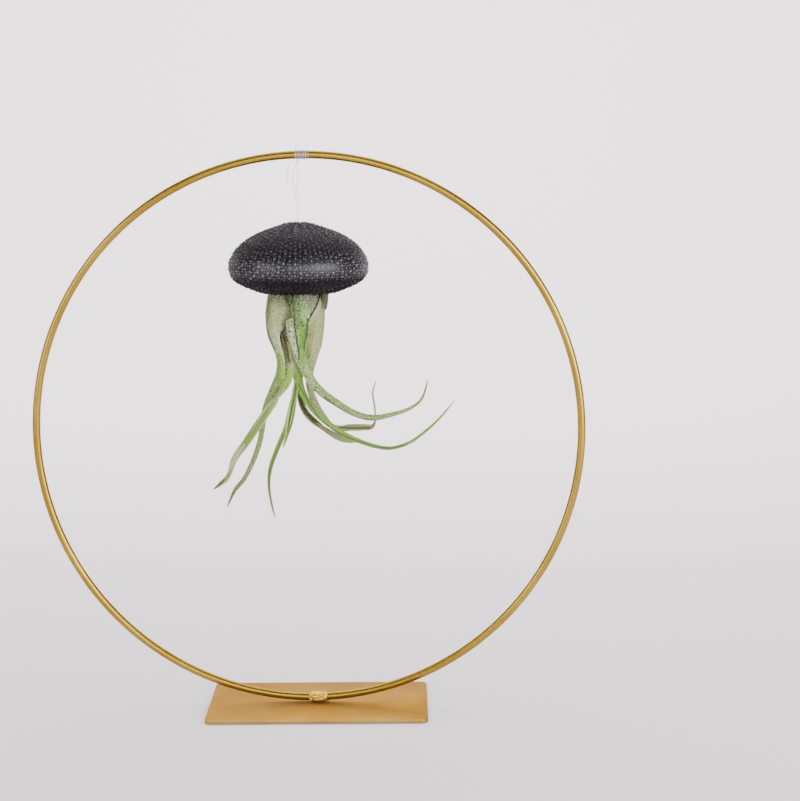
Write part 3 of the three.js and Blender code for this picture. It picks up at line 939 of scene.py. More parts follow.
    def build_winding(self) -> None:
        """Builds two layers of thread wound round the wire, with their two loose ends."""
        reach = self.wire_radius + self.thread / 2 + self.winding_slack
        left, right = (
            self.angle_at(self.winding_x + side * self.winding_width) for side in (-0.5, 0.5)
        )
        turns = []
        count = round(self.winding_turns * self.points_a_turn)
        for layer, (first, last) in enumerate(((left, right), (right, left))):
            for i in range(count + 1):
                t = i / count
                stray = self.winding_wander * noise.noise(Vector((i * 0.11, layer * 7.0, 0)))
                around = math.tau * self.winding_turns * (t + layer) + math.pi / 2
                away = reach + self.winding_layer * layer
                turns.append(self.on_wire(lerp(first, last, clamp(t + stray)), around, away))
        down = [turns[0] + Vector(step) for step in self.loose_end]
        across, out, rise = self.short_end
        up = [turns[-1] + Vector((across * part, out, rise * part)) for part in (0.3, 0.65, 1)]
        winding = self.round_cord("nylon_winding", [down + turns + up], self.thread, self.nylon)
        self.seat(winding, Slot.THREAD, "thread_winding")

    def build(self) -> None:
        """Builds and finishes the whole stand."""
        self.build_plate()
        self.build_hoop()
        self.build_weld()
        self.build_winding()


@dataclass
class HangingThread(SubAssembly):
    """The knot under the hoop and the taut thread with its loose tail.

    Attributes:
        knot_points: How many points one round of the knot has.
        knot_gap: How far under the knot the line starts.
        tail: The steps of the loose tail away from the line's top.
    """

    body: Body = Body.THREAD
    nylon: ClearNylon = ClearNylon()
    thread: float = 0.4
    knot_radius: float = 0.8
    knot_points: int = 36
    knot_gap: float = 0.1
    line_steps: int = 8
    tail: tuple[Place, ...] = (
        (0, 0, -0.6), (-1.6, -0.5, -2.2), (-3, -0.8, -5.5), (-2, -1, -10.5), (-0.9, -1.2, -17),
    )

    def build_knot(self, middle: Vector) -> None:
        """Builds the small knot as a thread tied through itself.

        Args:
            middle: The knot's middle in millimetres.
        """
        size = (self.knot_radius - self.thread / 2) / 3
        loop = []
        for k in range(self.knot_points + 2):
            a = math.tau * k / self.knot_points
            x = math.sin(a) + 2 * math.sin(2 * a)
            z = math.cos(a) - 2 * math.cos(2 * a)
            loop.append(middle + size * Vector((x, -math.sin(3 * a) * 2, z)))
        knot = self.round_cord("nylon_knot", [loop], self.thread, self.nylon)
        self.seat(knot, Slot.THREAD, "thread_knot", body=Body.KNOT)

    def build(self) -> None:
        """Builds the taut drop line with the tail that hangs beside it, and its knot."""
        low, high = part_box("thread_knot")
        middle = (low + high) / 2 / MM
        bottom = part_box("anchor_knot")[1].z / MM
        top = low.z / MM - self.knot_gap
        shares = (k / self.line_steps for k in range(self.line_steps + 1))
        line = [Vector((middle.x, middle.y, lerp(top, bottom, share))) for share in shares]
        tail = [line[0] + Vector(step) for step in self.tail]
        thread = self.round_cord("nylon_line", [line, tail], self.thread, self.nylon)
        self.seat(thread, Slot.THREAD, "thread_line")
        self.build_knot(middle)


# ---------------------------------------------------------------- shell


@dataclass
class UrchinShell(SubAssembly):
    """The hollow beaded test, open below, with the knot and the glue that it hides.

    The section is radius and drop below the apex, from the apex to the mouth. The ribs rise and
    fade by their distance from the axis. From each radius of doubled_from on there are twice as
    many columns of large tubercles. Tubercles stray along their ring and slide across it. The
    ramps say how pale the tubercle tips are by how far they face upwards, with less paleness on
    the underside as painted shade, how glossy the test is by the same, and how many small
    tubercles are left out of alternate bands by the ring's radius.
    """

    body: Body = Body.JELLYFISH
    finish: UrchinBlack = UrchinBlack()
    apex_z: float = 264.2
    wall: float = 1.2
    wall_rows: int = 64
    wall_columns: int = 144
    rows_per_inner_row: int = 3
    apex_hole: float = 1.3
    ridge: float = 0.24
    ridge_count: int = 20
    rib_start: Ramp = Ramp(0, 5)
    rib_end: Ramp = Ramp(34, 14)
    doubled_from: tuple[float, ...] = (14, 28)
    bead_pitch: float = 1.42
    fewest_beads: int = 6
    large_bead: float = 0.74
    small_bead: float = 0.43
    bead_rise: float = 0.2
    large_stray: float = 0.16
    small_stray: float = 0.26
    slide: float = 0.24
    bead_sizes: tuple[float, float] = (0.75, 1.2)
    small_room: float = 0.75
    small_tip: float = 0.74
    # Tips that face downwards are less pale: painted shade on the underside.
    pale: Ramp = Ramp(-0.9, -0.4, low=0.68)
    shine_below: Ramp = Ramp(-0.75, -0.15, low=0.04)
    shine_above: Ramp = Ramp(0.25, 0.7, low=1.0, high=0.3)
    thinning: Ramp = Ramp(15, 7, high=0.6)
    band_limit: float = -0.2
    seed: int = 11
    section_steps: int = 400
    section: tuple[tuple[float, float], ...] = (
        (1.3, 0.5), (5, 0.6), (9.4, 1.6), (14.5, 3.4), (20.4, 5.6), (25, 7.8), (29, 10.4),
        (32.7, 13.9), (35.2, 17.5), (36.7, 21), (37, 24.2), (36.2, 27.6), (34.1, 30.4),
        (30.7, 32.6), (26.2, 34.6), (22, 36.2), (18.2, 37.4),
    )

    @property
    def axis(self) -> Vector:
        """The shell's upright axis, where the thread meets it."""
        low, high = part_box("anchor_knot")
        middle = (low + high) / 2 / MM
        return Vector((middle.x, middle.y, 0))

    def outline(self, count: int) -> list[Vector]:
        """Reads the outer section at even steps of its length.

        Args:
            count: How many points.

        Returns:
            Radius and height of each point as x and z, from the apex to the mouth.
        """
        steps = self.section_steps
        radii, drops = zip(*self.section)
        dense = [
            Vector((smooth_value(radii, t), 0, self.apex_z - smooth_value(drops, t)))
            for t in (k / steps for k in range(steps + 1))
        ]
        lengths = [0.0]
        for before, after in zip(dense, dense[1:]):
            lengths.append(lengths[-1] + (after - before).length)
        points = []
        k = 0
        for i in range(count):
            wanted = lengths[-1] * i / (count - 1)
            while k < steps - 1 and lengths[k + 1] < wanted:
                k += 1
            share = (wanted - lengths[k]) / max(lengths[k + 1] - lengths[k], SAME_PLACE)
            points.append(dense[k].lerp(dense[k + 1], clamp(share)))
        return points

    @staticmethod
    def outward(points: Sequence[Vector], i: int) -> Vector:
        """Returns the outward direction of the section at one of its points."""
        along = points[min(i + 1, len(points) - 1)] - points[max(i - 1, 0)]
        return Vector((-along.z, 0, along.x)).normalized()

    def shine_of(self, normal: Vector) -> float:
        """Returns how glossy the test is where it faces a direction, most of all at its sides."""
        return self.shine_below.at(normal.z) * self.shine_above.at(normal.z)

    def build_wall(self) -> Shape:
        """Builds the thin wall with its faint radial ribs.

        Returns:
            The wall's shape.
        """
        outer = self.outline(self.wall_rows)
        inner = []
        for i in range(len(outer) - 1, -1, -self.rows_per_inner_row):
            point = outer[i] - self.outward(outer, i) * self.wall
            inner.append((max(point.x, self.apex_hole), point.z))
        shape = spun([(p.x, p.z) for p in outer] + inner, self.wall_columns, self.axis)
        shape.verts.layers.float.new("tubercle")
        shine = shape.verts.layers.float.new("shine")
        shape.normal_update()
        for corner in shape.verts:
            corner[shine] = self.shine_of(corner.normal)
            arm = corner.co / MM - self.axis
            reach = math.hypot(arm.x, arm.y)
            rib = math.cos(self.ridge_count * math.atan2(arm.y, arm.x))
            fade = self.rib_start.at(reach) * self.rib_end.at(reach)
            corner.co.z += self.ridge * rib * fade * MM
        return shape

    def columns_at(self, radius: float) -> int:
        """Returns how many columns of large tubercles fit round a radius."""
        return self.ridge_count * 2 ** sum(radius > limit for limit in self.doubled_from)

    def add_beads(self, shape: Shape) -> None:
        """Adds rings of tubercles, large ones in columns and small ones between them.

        Args:
            shape: The wall, which the tubercles are joined to.
        """
        draw = random.Random(self.seed)
        points = self.outline(self.section_steps)
        length = sum((b - a).length for a, b in zip(points, points[1:]))
        rings = round(length / self.bead_pitch)
        for ring in range(1, rings):
            i = round(ring / rings * (len(points) - 1))
            point, normal = points[i], self.outward(points, i)
            columns = self.columns_at(point.x)
            pitch = math.tau / columns
            large = [
                even + draw.gauss(0, self.large_stray / point.x)
                for k, even in enumerate(turns_of(columns))
                if (k + ring) % 2 == 0
            ]
            count = max(self.fewest_beads, round(math.tau * point.x / self.bead_pitch))
            shift = draw.uniform(0, math.tau)
            spare = pitch * 2
            room = (self.large_bead + self.small_room * self.small_bead) / point.x
            small = []
            for even in turns_of(count):
                angle = (shift + even + draw.gauss(0, self.small_stray / point.x)) % math.tau
                past = (angle - pitch * (ring % 2)) % spare
                if min(past, spare - past) < room:
                    continue
                is_band = math.cos(self.ridge_count / 2 * angle) < self.band_limit
                if is_band and draw.random() < self.thinning.at(point.x):
                    continue
                small.append(angle)
            # Less paleness on rings that face downwards is painted shade.
            pale = self.pale.at(normal.z)
            sizes = [(angle, self.large_bead, pale) for angle in large]
            sizes += [(angle, self.small_bead, self.small_tip * pale) for angle in small]
            self._bead_row(shape, point, normal, sizes, draw)

    def _bead_row(
        self,
        shape: Shape,
        point: Vector,
        normal: Vector,
        sizes: Sequence[tuple[float, float, float]],
        draw: random.Random,
    ) -> None:
        """Joins one ring of tubercles to the wall.

        Args:
            shape: The wall.
            point: The ring's radius and height, as x and z.
            normal: The outward direction of the section there.
            sizes: Each tubercle's angle, size and paleness.
            draw: The seeded random draw.
        """
        row = bmesh.new()
        tips = row.verts.layers.float.new("tubercle")
        shine = row.verts.layers.float.new("shine")
        for angle, size, paleness in sizes:
            turn = Matrix.Rotation(angle, 3, "Z")
            facing = turn @ normal
            along = Vector((-normal.z, 0, normal.x)) * draw.gauss(0, self.slide)
            radius = size * draw.uniform(*self.bead_sizes)
            spot = (turn @ (point + along + normal * self.bead_rise) + self.axis) * MM
            upright = facing.to_track_quat("Z", "Y").to_matrix().to_4x4()
            seat = Matrix.Translation(spot) @ upright
            bead = bmesh.ops.create_icosphere(row, subdivisions=1, radius=radius * MM, matrix=seat)
            for corner in bead["verts"]:
                corner[tips] = paleness * clamp((corner.co - spot).dot(facing) / radius / MM)
                corner[shine] = self.shine_of(normal)
        mesh = as_mesh("bead_row", row)
        shape.from_mesh(mesh)
        bpy.data.meshes.remove(mesh)

    def build(self) -> None:
        """Builds and finishes the shell, and finishes the hidden knot and glue."""
        shape = self.build_wall()
        self.add_beads(shape)
        test = self.make_piece("urchin_test", shape, self.finish)
        self.seat(test, Slot.SHELL, "urchin_shell")
        self.coat_node("anchor_knot", ClearNylon())
        self.coat_node("glue_seat", SetGlue())


# ---------------------------------------------------------------- plant


@dataclass(frozen=True)
class Bulb:
    """The bulb that the leaf sheaths form round the stem.

    Its axis bends at top and bottom. Profile and stem are heights and radii, downwards. Each
    layer lies layer_step inside the one before, leaves the stem base_step lower and widens to
    its full radius over the flare. Sections of a sheath lie the drops below its base.
    """

    top: FrontPoint = (-8.4, 232)
    bottom: FrontPoint = (-10, 216)
    profile: tuple[FrontPoint, ...] = (
        (246, 12), (240, 14), (233, 15.2), (226, 15.8), (219, 16.3), (212, 16.4),
    )
    stem: tuple[FrontPoint, ...] = (
        (251, 0), (250.5, 4.5), (248, 7.4), (245.5, 7.4), (242, 6.2), (238, 4.8), (234, 3.6),
        (224, 2.6), (212, 2), (204, 1.2), (203, 0),
    )
    sheath_wall: float = 0.9
    layer_step: float = 1.35
    first_base: float = 246
    base_step: float = 4
    flare: float = 14
    gap: float = 0.3
    drops: tuple[float, ...] = (0, 3, 7.5, 14, 22)

    @staticmethod
    def read(pairs: Sequence[FrontPoint], z: float) -> float:
        """Reads a value off pairs that run downwards.

        Args:
            pairs: Heights and values.
            z: The height asked for.

        Returns:
            The value there.
        """
        for (z0, v0), (z1, v1) in zip(pairs, pairs[1:]):
            if z >= z1:
                return lerp(v0, v1, clamp((z0 - z) / (z0 - z1)))
        return pairs[-1][1]

    def axis_x(self, z: float) -> float:
        """Returns where the bulb's axis stands at a height."""
        share = clamp((self.top[1] - z) / (self.top[1] - self.bottom[1]))
        return lerp(self.top[0], self.bottom[0], share)

    def radius(self, layer: float, base: float, z: float) -> float:
        """Works out a sheath's outer radius.

        Args:
            layer: Which layer it lies in, 1 outermost.
            base: The height where it leaves the stem.
            z: The height asked for.

        Returns:
            The radius in millimetres.
        """
        full = self.read(self.profile, z) - (layer - 1) * self.layer_step
        at_stem = self.read(self.stem, base) + self.gap + self.sheath_wall
        left = 1 - clamp((base - z) / self.flare)
        return lerp(full, min(at_stem, full), left * left)


@dataclass(frozen=True)
class Station:
    """One section of a leaf: its back's middle, span, fold in degrees and facing."""

    place: Vector
    span: float
    fold: float
    back: Vector


@dataclass(frozen=True)
class Sheath:
    """How a leaf's base wraps the bulb: its layer, and its facing and wrap at both ends."""

    layer: float
    azimuth: float
    wrap: float
    end_azimuth: float
    end_wrap: float
    end_z: float

    def stations(self, bulb: Bulb) -> list[Station]:
        """Works out the sheath's sections, from its base on the stem to its end.

        Args:
            bulb: The bulb that it wraps.

        Returns:
            The sections.
        """
        base = bulb.first_base - (self.layer - 1) * bulb.base_step
        heights = [base - drop for drop in bulb.drops if base - drop > self.end_z + 2]
        found = []
        for z in [*heights, self.end_z]:
            turned = ((base - z) / (base - self.end_z)) ** 2
            wrap = lerp(self.wrap, self.end_wrap, turned)
            radius = bulb.radius(self.layer, base, z)
            back = compass(lerp(self.azimuth, self.end_azimuth, turned))
            spot = Vector((bulb.axis_x(z), 0, z)) + back * radius
            found.append(Station(spot, 2 * radius * math.sin(math.radians(wrap / 2)), wrap, back))
        return found


def compass(azimuth: float, elevation: float = 0) -> Vector:
    """Returns the unit vector of an azimuth and an elevation in degrees."""
    turn, rise = math.radians(azimuth), math.radians(elevation)
    level = math.cos(rise)
    return Vector((level * math.cos(turn), level * math.sin(turn), math.sin(rise)))


@dataclass(frozen=True)
class Mark:
    """A stroke of colour on the side of a leaf that faces the front.
    Some strokes are the leaf's own tones, others painted shade in creases, channels and gaps.

    Attributes:
        route: Points as x and z.
        width: Half the stroke's width at its soft edge.
        colour: Its colour.
        strength: How much of it shows in the middle.
        depth: How far the skin is pressed in along it.
        dust: How much of the silvery dust lies on it.
        firm: How soon its edge reaches full colour.
    """

    route: tuple[FrontPoint, ...]
    width: float
    colour: Colour
    strength: float = 0.8
    depth: float = 0.0
    dust: float = 0.15
    firm: float = 1.7

    def weight(self, x: float, z: float) -> float:
        """Works out how much of the stroke shows at a point.

        Args:
            x: The point's x.
            z: The point's height.

        Returns:
            From 0 outside the stroke to 1 in its middle.
        """
        nearest = 1e9
        for (x0, z0), (x1, z1) in zip(self.route, self.route[1:]):
            dx, dz = x1 - x0, z1 - z0
            t = clamp(((x - x0) * dx + (z - z0) * dz) / (dx * dx + dz * dz))
            nearest = min(nearest, math.hypot(x - x0 - t * dx, z - z0 - t * dz))
        return ease(self.firm * (1 - nearest / self.width))


@dataclass(frozen=True)
class LeafTones:
    """The colours of one leaf from its sheath to its tip.

    The blade's colour comes in over blade_run of the length, the tip's over tip_run. The ramps
    say how much of the hollow's and the margin's colours show by the distance from the middle,
    and how much of the dust is left by the share of the length. A hollow colour darker than the
    back is painted shade, deepest in the middle of the channel.
    """

    sheath: Colour = tone(158, 166, 106)
    blade: Colour = tone(130, 152, 78)
    tip: Colour = tone(92, 82, 48)
    margin: Colour = tone(206, 212, 170)
    # Darker hollow colour: painted shade inside the channel.
    hollow: Colour = tone(80, 96, 38)
    flecks: float = 0.5
    dust: float = 1.0
    blade_from: float = 0.3
    blade_run: float = 0.14
    tip_from: float = 0.82
    tip_run: float = 0.18
    tip_share: float = 0.85
    in_hollow: Ramp = Ramp(12 / 13, 2 / 13, high=0.75)
    at_margin: Ramp = Ramp(0.78, 0.98, high=0.7)
    dust_left: Ramp = Ramp(0.5, 0.75, low=1.0, high=0.6)

    def at(self, share: float, side: float, inside: float) -> Colour:
        """Works out the plain colour of a spot on the leaf.

        Args:
            share: From 0 at the base to 1 at the tip.
            side: From -1 to 1 across, at its margins.
            inside: 1 on the hollow side, 0 on the back.

        Returns:
            The colour, with the dust as its alpha.
        """
        blade = ease((share - self.blade_from) / self.blade_run)
        tip = self.tip_share * ease((share - self.tip_from) / self.tip_run)
        colour = blend_tone(self.sheath, self.blade, blade)
        colour = blend_tone(colour, self.tip, tip)
        # A darker hollow colour here is painted shade, deepest in the middle of the channel.
        colour = blend_tone(colour, self.hollow, inside * self.in_hollow.at(abs(side)))
        colour = blend_tone(colour, self.margin, self.at_margin.at(abs(side)))
        return (*colour[:3], self.dust * self.dust_left.at(share))


@dataclass(frozen=True)
class Ring:
    """One cross section of a leaf's skin.

    Its back follows a circle of the given centre and radius and wraps fold radians of it. Share
    goes from 0 at the leaf's base to 1 at its tip, run is the length up to here, wall is the
    thickness in the middle, and closing is 1 until the ring starts to close towards the tip.
    """

    share: float
    run: float
    centre: Vector
    back: Vector
    across: Vector
    radius: float
    fold: float
    wall: float
    closing: float


@dataclass
class Leaf(SubAssembly):
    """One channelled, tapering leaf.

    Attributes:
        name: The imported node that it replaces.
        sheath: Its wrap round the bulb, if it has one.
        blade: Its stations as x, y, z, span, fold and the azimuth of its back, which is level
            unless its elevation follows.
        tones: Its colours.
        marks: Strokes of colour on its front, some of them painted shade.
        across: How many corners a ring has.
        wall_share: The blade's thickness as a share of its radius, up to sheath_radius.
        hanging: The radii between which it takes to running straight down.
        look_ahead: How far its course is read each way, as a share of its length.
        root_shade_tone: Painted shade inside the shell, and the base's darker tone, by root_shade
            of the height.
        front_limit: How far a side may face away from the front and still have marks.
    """

    name: str
    sheath: Sheath | None
    blade: tuple[tuple[float, ...], ...]
    tones: LeafTones = LeafTones()
    marks: tuple[Mark, ...] = ()
    slot: Slot = Slot.LEAF
    body: Body = Body.JELLYFISH
    finish: LeafSkin = LeafSkin()
    across: int = 56
    rings_per_station: int = 10
    wall_share: float = 0.42
    thickest: float = 1.1
    thinnest: float = 0.5
    sheath_radius: float = 8.0
    hanging: tuple[float, float] = (4.0, 9.0)
    look_ahead: float = 0.002
    tip_rings: int = 6
    tip_left: float = 0.02
    least_radius: float = 0.1
    root_shade_tone: Colour = tone(52, 48, 26)
    root_shade: Ramp = Ramp(214.5, 225.5, high=0.9)
    flecks_left: Ramp = Ramp(0.7, 1.0, low=1.0, high=0.4)
    hollow_flecks: float = 0.5
    front_limit: float = 0.2

    def rings(self, bulb: Bulb) -> list[Ring]:
        """Works out the leaf's cross sections at even steps, base first.

        Args:
            bulb: The bulb that the sheath wraps.

        Returns:
            The rings.
        """
        stations = self.sheath.stations(bulb) if self.sheath else []
        for x, y, z, span, fold, *facing in self.blade:
            stations.append(Station(Vector((x, y, z)), span, fold, compass(*facing)))
        steps = (len(stations) - 1) * self.rings_per_station
        spots, backs = [s.place for s in stations], [s.back for s in stations]
        spans, folds = [s.span for s in stations], [s.fold for s in stations]

        def read(vectors: Sequence[Vector], share: float) -> Vector:
            """Reads a smooth curve through a list of vectors."""
            return Vector([smooth_value([v[k] for v in vectors], share) for k in range(3)])

        found = []
        run = 0.0
        for i in range(steps + 1):
            t = i / steps
            spot = read(spots, t)
            run += (spot - read(spots, max(i - 1, 0) / steps)).length
            fold = math.radians(smooth_value(folds, t))
            radius = smooth_value(spans, t) / 2 / math.sin(min(fold, math.pi) / 2)
            before, after = max(t - self.look_ahead, 0), min(t + self.look_ahead, 1)
            along = (read(spots, after) - read(spots, before)).normalized()
            curled, straight = self.hanging
            hang = clamp((radius - curled) / (straight - curled))
            along = along.lerp(Vector((0, 0, -1)), hang).normalized()
            back = read(backs, t)
            back = (back - along * back.dot(along)).normalized()
            wall = clamp(self.wall_share * radius, self.thinnest, self.thickest)
            found.append(
                Ring(
                    share=t,
                    run=run,
                    centre=spot - back * radius,
                    back=back,
                    across=back.cross(along),
                    radius=radius,
                    fold=fold,
                    wall=bulb.sheath_wall if radius > self.sheath_radius else wall,
                    closing=math.sqrt(clamp((steps - i) / self.tip_rings, self.tip_left, 1)),
                )
            )
        return found

    def build(self, bulb: Bulb) -> None:
        """Builds, paints and finishes the leaf.

        Args:
            bulb: The bulb that its sheath wraps.
        """
        rings = self.rings(bulb)
        steps = len(rings) - 1
        shape = bmesh.new()
        skin_map = shape.loops.layers.uv.new("skin_map")
        skin = shape.verts.layers.float_color.new("skin_tone")
        flecks = shape.verts.layers.float.new("fleck_share")
        bmesh.ops.create_grid(shape, x_segments=self.across, y_segments=steps, size=0.5)
        for corner in shape.verts:
            around = corner.co.x + 0.5
            ring = rings[round((corner.co.y + 0.5) * steps)]
            for loop in corner.link_loops:
                girth = 2 * ring.radius * ring.fold
                loop[skin_map].uv = ((around - 0.25) * girth, ring.run)
            inside = 1.0 if around > 0.5 else 0.0
            side = 3 - 4 * around if inside else 4 * around - 1
            corner[skin], spot = self._spot(ring, side, inside)
            fade = self.flecks_left.at(ring.share) * lerp(1, self.hollow_flecks, inside)
            corner[flecks] = self.tones.flecks * fade
            corner.co = spot * MM
        bmesh.ops.remove_doubles(shape, verts=shape.verts, dist=SAME_PLACE)
        bmesh.ops.holes_fill(shape, edges=[e for e in shape.edges if e.is_boundary], sides=0)
        bmesh.ops.recalc_face_normals(shape, faces=shape.faces)
        piece = self.make_piece(self.name + "_skin", shape, self.finish)
        self.seat(piece, self.slot, self.name)

    def _spot(self, ring: Ring, side: float, inside: float) -> tuple[Colour, Vector]:
        """Places and paints one point of a ring.

        Args:
            ring: The ring.
            side: From -1 to 1 across.
            inside: 1 on the hollow side, 0 on the back.

        Returns:
            Its colour and its place in millimetres.
        """
        thickness = ring.wall * math.sqrt(max(0.0, 1 - side**4)) * ring.closing
        distance = ring.radius - ring.wall / 2 + thickness / 2 * (-1 if inside else 1)
        angle = ring.fold / 2 * side * ring.closing
        outward = ring.back * math.cos(angle) + ring.across * math.sin(angle)
        spot = ring.centre + outward * max(distance, self.least_radius)
        colour = self.tones.at(ring.share, side, inside)
        # Painted shade of the shell over the leaf's base, together with the base's own darker tone.
        colour = blend_tone(colour, self.root_shade_tone, self.root_shade.at(spot.z))
        # Marks, some of them painted shade, go only on the side that faces the front.
        if outward.y * (1 - 2 * inside) < self.front_limit:
            for mark in self.marks:
                weight = mark.weight(spot.x, spot.z)
                stroke = (*mark.colour[:3], mark.dust)
                colour = blend_tone(colour, stroke, weight * mark.strength)
                spot = spot - outward * (mark.depth * weight * (1 - inside))
        return colour, spot


@dataclass
class AirPlant(SubAssembly):
    """The plant: its stem and all its leaves."""

    leaves: tuple[Leaf, ...]
    body: Body = Body.JELLYFISH
    bulb: Bulb = Bulb()

    def build(self) -> None:
        """Builds every leaf and finishes the hidden stem."""
        for leaf in self.leaves:
            leaf.build(self.bulb)
        self.coat_node("plant_stem", DryFibre())


